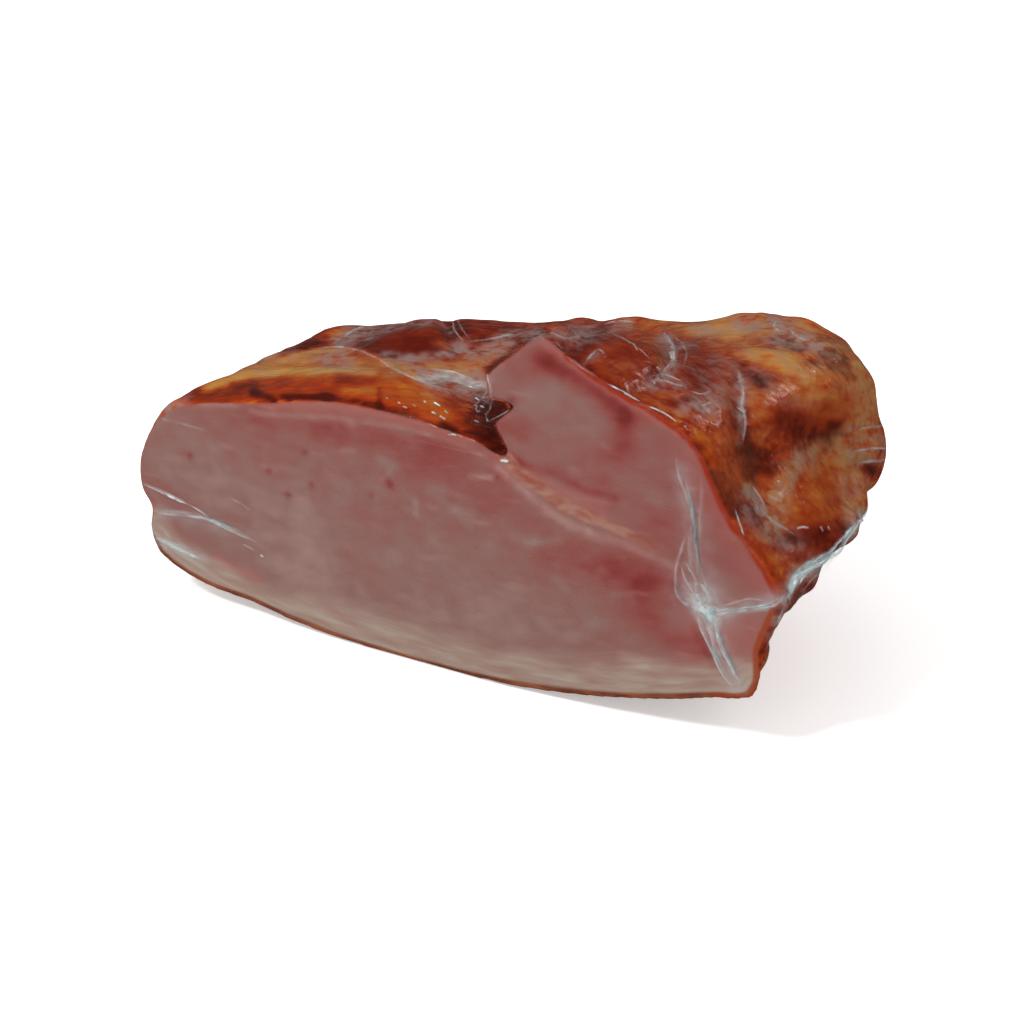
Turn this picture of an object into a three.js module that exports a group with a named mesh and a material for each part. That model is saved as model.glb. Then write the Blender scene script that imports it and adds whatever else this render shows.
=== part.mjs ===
// A piece of boneless smoked ham in a tight clear vacuum bag: half of a leg, cut straight across in front.
// The cut shows the large lower muscle on its fat and rind, a cleft, and the second muscle that stands above it.
// The bag clings to the meat, so one closed solid of the bag's outer form stands for both.
// Millimetres, +Z up. The origin is under the middle of the piece, on the surface that it lies on. The cut faces -Y.
import * as THREE from "three";

// Driving dimensions.
const DEPTH = 120; // from the cut face to the round back end
const FRONT_Y = -52; // where the cut face stands
const EDGE_ROUND = 1.2; // the softened edge round the cut face
const BACK_ROUND = 38; // how far from the back end its rounding starts
const BACK_FULLNESS = 0.62; // below 1 the back end is fuller than an ellipse
const RIND_LOW_X = 0; // where the round rind side touches the surface
const RIND_SINK = 1.0; // how far the weight flattens the round rind
const RIND_RADIUS_LEFT = 520; // radius of the rind's long curve to the left of there
const RIND_RADIUS_RIGHT = 300; // and to the right
const RIND_CURVE_BACK = 1.4; // how much more the rind curves at the back's shoulder

// How finely the form is divided.
const SPACING = 5.6; // along each ring
const BODY_RINGS = 20; // from the cut face to the back's shoulder
const BACK_RINGS = 8; // over the round back end

// Height of the rind's curve at x, before the weight flattens it.
function rindHeight(x) {
  const radius = x < RIND_LOW_X ? RIND_RADIUS_LEFT : RIND_RADIUS_RIGHT;
  return (x - RIND_LOW_X) ** 2 / (2 * radius) - RIND_SINK;
}

// The outline of the cut, clockwise from the left end, as [x, z] in front and [x, z] at the back's shoulder.
const LEFT_END = [
  [-104, 14, -96, 23],
  [-108.5, 24, -100, 31],
  [-110, 37, -102, 40],
  [-109, 51, -101, 51],
  [-105, 60, -97, 61],
  [-97, 68, -90, 67.5],
];
const TOP_RIM = [
  [-84, 73, -80, 71],
  [-62, 77.5, -62, 75.5],
  [-36, 83.5, -42, 79],
  [-10, 84.5, -22, 81],
  [8, 83, -6, 84],
  [18, 81.5, 2, 83],
];
const CLEFT = [
  [28, 78, 6, 83.5],
  [25.5, 83, 8, 84],
  [22.5, 88.5, 9, 84.5],
  [30.5, 95.5, 11, 85],
  [22.5, 95, 12.5, 85.5],
];
const SECOND_MUSCLE = [
  [19.5, 99.5, 14, 86],
  [21.5, 105, 20, 87.5],
  [29, 111.5, 28, 89.5],
  [39, 119.5, 38, 92],
  [48, 115.5, 48, 94],
  [64, 108, 62, 97.5],
  [80, 102.5, 76, 100],
  [88.5, 97.5, 88, 99.5],
  [93.5, 91.5, 97.5, 95.5],
  [98, 82.5, 104, 87.5],
  [102.5, 75, 108, 78],
  [111, 65.5, 113, 68],
];
const RIGHT_END = [
  [118.5, 55, 114.5, 59],
  [117.5, 49, 110, 53],
  [113, 35, 84, 44],
  [113.5, 27, 72, 37],
  [111, 19, 64, 29],
];
const RIND_RIGHT_X = [
  [100, 56],
  [80, 48],
  [58, 38],
  [36, 26],
  [14, 12],
];
const RIND_LEFT_X = [
  [-12, -12],
  [-38, -36],
  [-64, -60],
  [-88, -82],
];

const rindPoints = (pairs) =>
  pairs.map(([front, back]) => [
    front,
    rindHeight(front),
    back,
    rindHeight(back) * RIND_CURVE_BACK,
  ]);

const OUTLINE = [
  ...LEFT_END,
  ...TOP_RIM,
  ...CLEFT,
  ...SECOND_MUSCLE,
  ...RIGHT_END,
  ...rindPoints(RIND_RIGHT_X),
  ...rindPoints(RIND_LEFT_X),
];

// Soft swellings and hollows of the smoked outside: where, how wide and how high they are.
const SWELLINGS = [
  { name: "shoulder of the rim, left", at: [-52, -36, 84], wide: 13, high: 2 },
  { name: "shoulder of the rim, right", at: [-14, -35, 88], wide: 12, high: 2.5 },
  { name: "muscle end at the back left", at: [-42, 14, 79], wide: 12, high: 4 },
  { name: "valley behind the rim", at: [-2, -12, 84], wide: 12, high: -4.5 },
  { name: "valley beside the second muscle", at: [12, -26, 90], wide: 9, high: -3.5 },
  { name: "round muscle end on top", at: [62, -24, 108], wide: 11, high: 4 },
  { name: "dent behind it", at: [82, -12, 103], wide: 8, high: -3.5 },
  { name: "shoulder of the back right", at: [98, 22, 90], wide: 15, high: 2.5 },
  { name: "hollow of the flank", at: [107, 2, 70], wide: 11, high: -4.5 },
  { name: "edge of the lower flank", at: [118, -14, 54], wide: 13, high: 4.5 },
  { name: "tuck under the flank's edge", at: [112, -40, 34], wide: 13, high: -4 },
  { name: "hollow of the back left", at: [-66, 56, 44], wide: 18, high: -4 },
  { name: "swelling of the back", at: [30, 62, 54], wide: 28, high: 4 },
];

const smooth = (t) => t * t * (3 - 2 * t);
const clamp01 = (t) => Math.min(1, Math.max(0, t));
const mix = (a, b, t) => a + (b - a) * t;

// Points along the front outline, each with its partner on the back outline. The given points are among them.
function pairedOutline() {
  const closed = (points) =>
    new THREE.CatmullRomCurve3(points, true, "centripetal");
  const front = closed(OUTLINE.map(([x, z]) => new THREE.Vector3(x, 0, z)));
  const back = closed(OUTLINE.map(([, , x, z]) => new THREE.Vector3(x, 0, z)));
  return front.points.flatMap((start, i) => {
    const end = front.points[(i + 1) % front.points.length];
    const steps = Math.max(2, Math.round(start.distanceTo(end) / SPACING));
    return Array.from({ length: steps }, (_, k) => {
      const t = (i + k / steps) / front.points.length;
      return { front: front.getPoint(t), back: back.getPoint(t) };
    });
  });
}

// How far along the depth, and how much drawn in, each ring is.
function rings() {
  const list = [
    { y: 0, inset: EDGE_ROUND, turn: 0, close: 1 },
    { y: EDGE_ROUND * 0.35, inset: EDGE_ROUND * 0.3, turn: 0, close: 1 },
    { y: EDGE_ROUND * 1.1, inset: 0, turn: 0, close: 1 },
  ];
  const shoulder = DEPTH - BACK_ROUND;
  for (let i = 1; i <= BODY_RINGS; i++) {
    const t = i / BODY_RINGS;
    list.push({ y: mix(EDGE_ROUND * 1.1, shoulder, t), inset: 0, turn: t, close: 1 });
  }
  for (let i = 1; i < BACK_RINGS; i++) {
    const angle = (i / BACK_RINGS) * (Math.PI / 2);
    list.push({
      y: mix(shoulder, DEPTH, Math.sin(angle)),
      inset: 0,
      turn: 1,
      close: Math.cos(angle) ** BACK_FULLNESS,
    });
  }
  return list;
}

// The middle of the back end, which the last rings close on.
const BACK_MIDDLE = new THREE.Vector2(4, 52);

function ringPoints(ring, outline) {
  const share = smooth(clamp01(ring.turn));
  return outline.map(({ front, back }, i) => {
    const next = outline[(i + 1) % outline.length].front;
    const last = outline.at(i - 1).front;
    const along = new THREE.Vector2(next.x - last.x, next.z - last.z).normalize();
    const x = mix(front.x, back.x, share) + along.y * ring.inset;
    const z = mix(front.z, back.z, share) - along.x * ring.inset;
    return new THREE.Vector3(
      mix(BACK_MIDDLE.x, x, ring.close),
      FRONT_Y + ring.y,
      mix(BACK_MIDDLE.y, z, ring.close),
    );
  });
}

// Pushes the outside in or out by the swellings near each point.
function swell(grid) {
  const moved = grid.map((ring) => ring.map((p) => p.clone()));
  const rows = grid.length;
  const columns = grid[0].length;
  for (let r = 3; r < rows; r++)
    for (let c = 0; c < columns; c++) {
      const p = grid[r][c];
      const round = new THREE.Vector3().subVectors(
        grid[r][(c + 1) % columns],
        grid[r].at(c - 1),
      );
      const along = new THREE.Vector3().subVectors(
        grid[Math.min(r + 1, rows - 1)][c],
        grid[r - 1][c],
      );
      const out = new THREE.Vector3().crossVectors(round, along).normalize();
      let push = 0;
      for (const { at, wide, high } of SWELLINGS) {
        const away = p.distanceTo(new THREE.Vector3(...at));
        push += high * Math.exp(-(away ** 2) / (2 * wide ** 2));
      }
      moved[r][c].addScaledVector(out, push);
    }
  return moved;
}

// Flattens what would be under the surface that the ham lies on.
function rest(grid) {
  for (const ring of grid)
    for (const p of ring)
      p.z = Math.max(p.z, 0);
}

function hamGeometry() {
  const outline = pairedOutline();
  const count = outline.length;
  const grid = swell(rings().map((ring) => ringPoints(ring, outline)));
  rest(grid);
  const positions = grid.flat().flatMap((p) => [p.x, p.y, p.z]);
  const index = [];
  const at = (r, c) => r * count + (c % count);
  for (let r = 0; r + 1 < grid.length; r++)
    for (let c = 0; c < count; c++)
      index.push(
        at(r, c), at(r + 1, c + 1), at(r + 1, c),
        at(r, c), at(r, c + 1), at(r + 1, c + 1),
      );
  // The flat cut in front.
  const cut = grid[0].map((p) => new THREE.Vector2(p.x, p.z)).reverse();
  for (const corners of THREE.ShapeUtils.triangulateShape(cut, []))
    index.push(...corners.map((i) => cut.length - 1 - i));
  // The pole of the round back.
  const last = grid.length - 1;
  const pole = positions.length / 3;
  positions.push(BACK_MIDDLE.x, FRONT_Y + DEPTH, BACK_MIDDLE.y);
  for (let c = 0; c < count; c++)
    index.push(at(last, c), at(last, c + 1), pole);
  const geometry = new THREE.BufferGeometry();
  geometry.setAttribute("position", new THREE.Float32BufferAttribute(positions, 3));
  geometry.setIndex(index);
  geometry.computeBoundingBox();
  const middle = geometry.boundingBox.getCenter(new THREE.Vector3());
  geometry.translate(-middle.x, -middle.y, 0);
  geometry.computeVertexNormals();
  return geometry;
}

const smokedHam = new THREE.MeshStandardMaterial({
  color: 0xa4543c,
  roughness: 0.35,
  metalness: 0,
});

const packedHam = new THREE.Mesh(hamGeometry(), smokedHam);
packedHam.name = "packed_ham";

const part = new THREE.Group();
part.add(packedHam);

export default part;
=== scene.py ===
# %% [markdown]
# # Half a smoked ham in a clear vacuum bag
#
# The real thing is a boneless leg of ham, brined, tied, smoked, cut straight across and sealed in a clear bag. The
# pump pulls the bag down on the meat, so the plastic is seen only where it gleams, where it folds and where it
# spans a hollow. Two pieces are made here: the ham, and over it the clear bag with its folds.

import math

import bmesh
import bpy
import numpy as np
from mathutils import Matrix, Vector, noise
from mathutils.bvhtree import BVHTree


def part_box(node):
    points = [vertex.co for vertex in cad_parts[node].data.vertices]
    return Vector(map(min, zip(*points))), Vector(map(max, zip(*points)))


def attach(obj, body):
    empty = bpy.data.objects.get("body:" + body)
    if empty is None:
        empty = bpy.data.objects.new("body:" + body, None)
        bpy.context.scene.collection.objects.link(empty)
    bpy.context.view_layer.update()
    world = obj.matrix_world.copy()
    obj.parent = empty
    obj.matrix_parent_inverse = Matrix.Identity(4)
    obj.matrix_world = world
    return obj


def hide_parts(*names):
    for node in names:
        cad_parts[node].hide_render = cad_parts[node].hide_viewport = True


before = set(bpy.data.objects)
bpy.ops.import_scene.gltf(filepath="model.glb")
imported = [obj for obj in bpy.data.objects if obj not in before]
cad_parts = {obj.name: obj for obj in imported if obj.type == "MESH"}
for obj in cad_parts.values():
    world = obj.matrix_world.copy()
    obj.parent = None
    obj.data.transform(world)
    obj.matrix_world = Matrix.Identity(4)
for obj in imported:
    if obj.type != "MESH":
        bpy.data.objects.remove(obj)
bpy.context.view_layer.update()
MM = 0.001
CUT_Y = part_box("packed_ham")[0].y

# %% [markdown]
# ## The camera
#
# The photo looks at the ham from its right and from above, through a long lens. With the lens known, any point of
# the picture is a ray in space, so a feature can be named by where it shows and is then laid on the ham itself.

# %% Camera
PHOTO_SIDE = 1024  # pixels
AIM = Vector((-5.35, -9.5, 33)) * MM
AZIMUTH = math.radians(30)
ELEVATION = math.radians(25)
DISTANCE = 850 * MM
MM_PER_PIXEL = 0.325  # at the aim
FOCAL_PIXELS = DISTANCE / MM / MM_PER_PIXEL
SENSOR = 36
back = Vector(
    (
        math.sin(AZIMUTH) * math.cos(ELEVATION),
        -math.cos(AZIMUTH) * math.cos(ELEVATION),
        math.sin(ELEVATION),
    )
)
eye = AIM + back * DISTANCE
bpy.ops.object.camera_add(location=eye, rotation=back.to_track_quat("Z", "Y").to_euler())
camera = bpy.context.object
camera.data.sensor_width = SENSOR
camera.data.lens = SENSOR * FOCAL_PIXELS / PHOTO_SIDE
camera.data.clip_start = 0.01
bpy.context.scene.camera = camera
print("lens in mm:", round(camera.data.lens, 1))


# %% From the picture to the ham
def ray_through(pixel):
    """The direction from the camera through a point of the photo."""
    right = Vector((math.cos(AZIMUTH), math.sin(AZIMUTH), 0))
    up = back.cross(right)
    across = (pixel[0] - PHOTO_SIDE / 2) / FOCAL_PIXELS
    down = (pixel[1] - PHOTO_SIDE / 2) / FOCAL_PIXELS
    return (right * across - up * down - back).normalized()


def on_cut(pixel):
    """The point of the cut's plane that shows at a point of the photo."""
    ray = ray_through(pixel)
    return eye + ray * ((CUT_Y - eye.y) / ray.y)


def smooth_line(corners, steps=6):
    """A smooth line through corners, which are pixels or points."""
    corners = [Vector(c) for c in corners]
    if len(corners) < 3:
        return corners
    ends = [corners[0] * 2 - corners[1], *corners, corners[-1] * 2 - corners[-2]]
    line = []
    for a, b, c, d in zip(ends, ends[1:], ends[2:], ends[3:]):
        for k in range(steps):
            t = k / steps
            line.append(
                0.5
                * (2 * b + (c - a) * t + (2 * a - 5 * b + 4 * c - d) * t**2 + (3 * b - a - 3 * c + d) * t**3)
            )
    return [*line, corners[-1]]


photo_middle = on_cut((PHOTO_SIDE / 2, PHOTO_SIDE / 2))
print("the middle of the photo on the plane of the cut, in mm:", [round(v / MM) for v in photo_middle])

# %% [markdown]
# ## The ham's form
#
# The part's solid has the true form but coarse faces. A copy of it is merged, turned into an even fine mesh by a
# voxel remesh and smoothed. Then its skin is pushed in and out: soft noise everywhere on the smoked outside, and
# named creases and swellings where the photo shows them. The cut stays almost flat, as a knife leaves it.


# %% A merged copy of the solid
def only(piece):
    """Selects a piece alone."""
    bpy.ops.object.select_all(action="DESELECT")
    piece.select_set(True)
    bpy.context.view_layer.objects.active = piece


def apply_modifier(piece, kind, **settings):
    only(piece)
    modifier = piece.modifiers.new(kind.title(), kind)
    for name, value in settings.items():
        setattr(modifier, name, value)
    bpy.ops.object.modifier_apply(modifier=modifier.name)


def copy_of_solid(name):
    piece = bpy.data.objects.new(name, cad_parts["packed_ham"].data.copy())
    bpy.context.scene.collection.objects.link(piece)
    piece.data.materials.clear()
    only(piece)
    bpy.ops.object.mode_set(mode="EDIT")
    bpy.ops.mesh.select_all(action="SELECT")
    bpy.ops.mesh.remove_doubles(threshold=0.001 * MM)
    bpy.ops.mesh.normals_make_consistent(inside=False)
    bpy.ops.object.mode_set(mode="OBJECT")
    return piece


ham = copy_of_solid("ham")
print("faces of the solid:", len(ham.data.polygons))


# %% The edge of the cut, from the solid
def cut_edge(piece):
    """The straight pieces of the line round the flat cut, and the way out of each."""
    shape = bmesh.new()
    shape.from_mesh(piece.data)
    starts, ends, outs = [], [], []
    for edge in shape.edges:
        flat = [face for face in edge.link_faces if face.normal.y < -0.99]
        if len(flat) != 1 or len(edge.link_faces) != 2:
            continue
        a, b = edge.verts
        if max(a.co.y, b.co.y) > CUT_Y + 0.2 * MM:
            continue
        out = (a.co + b.co) / 2 - flat[0].calc_center_median()
        way = (b.co - a.co).normalized()
        starts.append(a.co[:])
        ends.append(b.co[:])
        outs.append((out - way * out.dot(way)).normalized()[:])
    shape.free()
    return np.array(starts), np.array(ends), np.array(outs)


edge_starts, edge_ends, edge_outs = cut_edge(ham)
print("pieces of the cut's edge:", len(edge_starts))

# %% An even fine mesh
VOXEL = 1.1 * MM
apply_modifier(ham, "REMESH", mode="VOXEL", voxel_size=VOXEL, use_smooth_shade=True)
apply_modifier(ham, "SMOOTH", factor=0.5, iterations=4)
print("points of the ham:", len(ham.data.vertices))


# %% Points as arrays
def get_points(piece):
    points = np.empty(len(piece.data.vertices) * 3)
    piece.data.vertices.foreach_get("co", points)
    return points.reshape(-1, 3)


def get_normals(piece):
    normals = np.empty(len(piece.data.vertices) * 3)
    piece.data.vertex_normals.foreach_get("vector", normals)
    return normals.reshape(-1, 3)


def set_points(piece, points):
    piece.data.vertices.foreach_set("co", points.ravel())
    piece.data.update()


def keep(piece, name, values):
    """Stores one number a point, for the materials."""
    layer = piece.data.attributes.new(name, "FLOAT", "POINT")
    layer.data.foreach_set("value", np.asarray(values, np.float32))


def tree_of(piece):
    only(piece)
    shape = bmesh.new()
    shape.from_mesh(piece.data)
    tree = BVHTree.FromBMesh(shape)
    shape.free()
    return tree


start = get_points(ham)
normals = get_normals(ham)
print("the ham is as high as, in mm:", round(start[:, 2].max() / MM, 1))

# %% Places on the ham, from the picture or from a side
GRAZING, IN_SIGHT = -0.02, 0.14  # cosines of the angle between the skin and the way to the camera
STAND_OFF = 0.6  # mm
ham_tree = tree_of(ham)


def on_ham(pixel):
    """The point of the ham that shows at a point of the photo."""
    ray = ray_through(pixel)
    hit = ham_tree.ray_cast(eye, ray)[0]
    if hit is None:  # just beside it, so the nearest point of its outline
        beside = [ham_tree.find_nearest(eye + ray * (DISTANCE + k * 2 * MM)) for k in range(-90, 90)]
        hit = min(beside, key=lambda found: found[3])[0]
    return hit


def in_picture(pixel):
    """A point of the photo as a flat place, at the scale of the aim."""
    return Vector((pixel[0], pixel[1], 0)) * (MM_PER_PIXEL * MM)


def shown_at(points):
    """Where points show in the photo, as flat places."""
    right = np.array((math.cos(AZIMUTH), math.sin(AZIMUTH), 0))
    up = np.array(back.cross(Vector(right)))
    offset = points - np.array(eye)
    depth = -(offset @ np.array(back))
    x = PHOTO_SIDE / 2 + FOCAL_PIXELS * (offset @ right) / depth
    y = PHOTO_SIDE / 2 - FOCAL_PIXELS * (offset @ up) / depth
    return np.stack([x, y, np.zeros(len(points))], axis=1) * (MM_PER_PIXEL * MM)


def shows(points, ways):
    """1 where the photo shows a point from in front, fading to 0 where it only grazes it or can't see it."""
    to_eye = np.array(eye) - points
    to_eye /= np.linalg.norm(to_eye, axis=1)[:, None]
    patchy = soft_noise(points, 6, 2, seed=14) * 0.08  # so that no straight line shows where the painting ends
    facing = step(GRAZING, IN_SIGHT, np.sum(ways * to_eye, axis=1) + patchy)
    for i in np.flatnonzero(facing):
        clear_of_skin = points[i] + (ways[i] + to_eye[i]) * STAND_OFF * MM
        if ham_tree.ray_cast(Vector(clear_of_skin), Vector(to_eye[i]))[0] is not None:
            facing[i] = 0
    return facing


def from_side(side, height):
    """The point of the ham met on the way in from a side, in degrees round from the front, at a height in mm."""
    angle = math.radians(side)
    inwards = Vector((-math.sin(angle), math.cos(angle), 0))
    middle = Vector((0, 0, height * MM))
    return ham_tree.ray_cast(middle - inwards, inwards)[0]


print("the middle of the back, in mm:", [round(v / MM) for v in from_side(180, 50)])


# %% Noise and strokes
def step(low, high, values):
    t = np.clip((values - low) / (high - low), 0, 1)
    return t * t * (3 - 2 * t)


def soft_noise(points, size, octaves=3, stretch=(1, 1, 1), seed=0.0):
    """Noise from about -1 to 1, with lumps of a size in mm."""
    scaled = points / (np.array(stretch) * size * MM) + seed * 7.31
    return np.array([noise.fractal(Vector(p), 0.6, 2.0, octaves) for p in scaled])


def distance_to(points, path):
    """How far each point is from a path, in mm, and how far along the path it is, from 0 to 1."""
    path = np.array([p[:] for p in path])
    if len(path) == 1:
        return np.linalg.norm(points - path[0], axis=1) / MM, np.full(len(points), 0.5)
    nearest = np.full(len(points), 1e9)
    along = np.zeros(len(points))
    for i, (a, b) in enumerate(zip(path, path[1:])):
        way = b - a
        t = np.clip((points - a) @ way / max(way @ way, 1e-12), 0, 1)
        away = np.linalg.norm(points - (a + t[:, None] * way), axis=1) / MM
        closer = away < nearest
        nearest[closer] = away[closer]
        along[closer] = (i + t[closer]) / (len(path) - 1)
    return nearest, along


FINEST = 2.4  # mm, because the mesh can't show finer noise than this


def stroke(points, path, width, ragged=0.3, seed=1.0):
    """A soft stroke along a path: 1 on it, 0.4 at its width, 0 from about twice that on."""
    away, _ = distance_to(points, path)
    near = away < width * 2.5
    mask = np.zeros(len(points))
    wobble = soft_noise(points[near], max(width * 1.2, FINEST), 1, seed=seed) * ragged
    mask[near] = np.exp(-(np.maximum(away[near] / width + wobble, 0) ** 2) * 0.9)
    return mask


print("the finest noise, in mm:", FINEST)

# %% [markdown]
# ## Relief
#
# Brushes would do for shaping the skin by hand. Here each crease and swelling is a soft stroke along a few points of
# the photo, with its width and its height in mm, so that it can be found by name and changed. Noise of several sizes
# comes under the strokes, and both fade out towards the cut and the floor.

# %% Creases and swellings of the smoked outside
CREASES = {
    # path, width in mm, height in mm
    "behind the golden rim": ([(215, 385), (262, 366), (330, 360), (400, 366), (460, 386)], 3.5, -1.0),
    "line where the bag is taut": ([(318, 350), (360, 351), (388, 362), (432, 385), (476, 398)], 1.6, 0.7),
    "muscle end on the left": ([(385, 340), (425, 333)], 8.0, 1.8),
    "crease beside that muscle": ([(446, 318), (450, 335), (462, 352)], 2.6, -1.8),
    "small muscle end": ([(465, 331), (492, 331)], 5.0, 1.2),
    "round muscle end": ([(590, 352), (640, 352)], 9.0, 1.4),
    "groove round it": ([(570, 352), (585, 332), (640, 323), (668, 345), (660, 378), (640, 392)], 3.0, -1.4),
    "fold in the flank": ([(738, 372), (742, 400), (741, 430), (735, 460)], 3.2, -1.6),
    "ridge beside the fold": ([(720, 385), (722, 410), (728, 440)], 3.5, 0.9),
    "valley of the flank": ([(835, 425), (800, 440), (778, 446)], 5.5, -2.6),
    "end of the valley": ([(770, 455), (760, 475), (756, 490)], 6.0, -1.2),
    "bulge above the valley": ([(770, 400), (810, 402), (845, 410)], 9.0, 1.6),
    "small valley at the back": ([(868, 466), (855, 472)], 3.0, -1.2),
    "orange muscle": ([(815, 485), (822, 515)], 10.0, 1.4),
    "hollow over the main fold": ([(790, 545), (830, 548)], 5.0, -1.6),
    "top ridge": ([(700, 345), (740, 352), (790, 362), (830, 385)], 4.0, 0.9),
    "dents on top": ([(775, 330), (800, 342)], 3.0, -1.2),
    "shoulder at the far left": ([(180, 398), (215, 384), (255, 368), (300, 350), (335, 333)], 10.0, 2.4),
    "knot on the skyline": ([(418, 322), (440, 320)], 4.0, 1.4),
    "crown of the round muscle": ([(588, 323), (632, 320)], 7.0, 1.9),
    "crown on the right": ([(745, 321), (780, 319), (796, 320)], 8.0, 2.8),
    "back right corner": ([(845, 342), (858, 356), (868, 378)], 8.0, 1.6),
    "back right side": ([(872, 390), (882, 410), (886, 428)], 7.0, 1.2),
    "above the flank's edge": ([(874, 484), (872, 492)], 3.0, -0.8),
    "flank's edge": ([(864, 514), (856, 532)], 4.5, 4.2),
    "under the flank's edge": ([(848, 552), (840, 562), (830, 574)], 5.0, -1.2),
    "below the flank": ([(810, 590), (800, 602), (790, 614), (778, 636), (768, 656)], 5.0, 2.8),
}
print("creases and swellings:", len(CREASES))

# %% Dents and swellings of the cut's left end
LEFT_END = [
    # place on the cut's edge, width in mm, how far out and how far up in mm
    ((140, 474), 11.0, 2.2, 0),
    ((150, 508), 3.8, -3.6, 0),
    ((154, 532), 3.6, 0.4, 0),
    ((156, 556), 8.0, 1.7, 0),
    ((246, 603), 14.0, 0, 1.3),
]
print("places of the left end:", len(LEFT_END))

# %% Push the skin in and out
behind = (start[:, 1] - CUT_Y) / MM
outside = step(0.4, 3.0, behind)
relief = soft_noise(start, 18, 2) * 0.7
relief += soft_noise(start, 7, 2, stretch=(1.5, 1, 1), seed=2) * 0.22
relief += (0.4 - np.abs(soft_noise(start, 12, 2, stretch=(1.6, 0.8, 1), seed=3))) * 0.4
for name, (pixels, width, height) in CREASES.items():
    relief += height * stroke(start, [on_ham(p) for p in smooth_line(pixels)], width, ragged=0.15)
relief *= outside
relief += (1 - outside) * soft_noise(start, 22, 2, seed=4) * 0.22
relief *= step(0.5, 6.0, start[:, 2] / MM)
HAM_UNDER_FILM = 0.45  # mm from the bag's outer form in to the meat
LOWEST = 0.15 * MM
moved = start + normals * ((relief - HAM_UNDER_FILM) * MM)[:, None]
for pixel, width, out, up in LEFT_END:
    away, _ = distance_to(start, [on_cut(pixel)])
    moved -= np.exp(-((away / width) ** 2))[:, None] * np.array((out, 0, -up)) * MM
moved[:, 2] = np.maximum(moved[:, 2], LOWEST)
set_points(ham, moved)
ham_tree = tree_of(ham)
relieved_normals = get_normals(ham)
print("relief in mm, from and to:", round(relief.min(), 2), round(relief.max(), 2))

# %% [markdown]
# ## Where the ham's colours go
#
# The colours of cured meat follow its parts, so each point of the mesh gets a few numbers that the material reads:
# how far it is behind the cut, how far from the rind and from the seam of fat, how red the lean is there, and on
# the outside how dark or golden the smoke left it, where highlights and shade are painted on, and how much the bag
# stands off and greys it with painted reflections.

# %% Distances on the cut
flat_start = start.copy()
flat_start[:, 1] = CUT_Y


def distance_to_edges(points, chosen):
    nearest = np.full(len(points), 1e9)
    for a, b in zip(edge_starts[chosen], edge_ends[chosen]):
        way = b - a
        t = np.clip((points - a) @ way / (way @ way), 0, 1)
        nearest = np.minimum(nearest, np.linalg.norm(points - (a + t[:, None] * way), axis=1) / MM)
    return nearest


edge_middles = (edge_starts + edge_ends) / 2
across_mm, up_mm = edge_middles[:, 0] / MM, edge_middles[:, 2] / MM
EDGES = {
    "rind": (edge_outs[:, 2] < -0.35) & (up_mm < 32),
    "low_right": (across_mm > 95) & (up_mm < 50),
    "right_rim": (across_mm > 41) & (up_mm > 53),
}
SEAM = [(507, 462), (518, 474), (532, 484), (547, 494), (560, 504), (589, 518), (606, 525), (645, 543), (684, 560)]
seam_mm, seam_along = distance_to(flat_start, [on_cut(p) for p in smooth_line(SEAM)])
seam_path = np.array([on_cut(p)[:] for p in SEAM])
seam_height = np.interp(flat_start[:, 0], seam_path[:, 0], seam_path[:, 2])
seam_side = np.where(flat_start[:, 2] > seam_height, 1, -1)
for name, chosen in EDGES.items():
    keep(ham, name, distance_to_edges(flat_start, chosen))
    print("pieces of the cut's edge that are", name, int(chosen.sum()))
keep(ham, "behind", behind)
keep(ham, "seam", seam_mm * seam_side)
keep(ham, "seam_along", seam_along)

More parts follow.
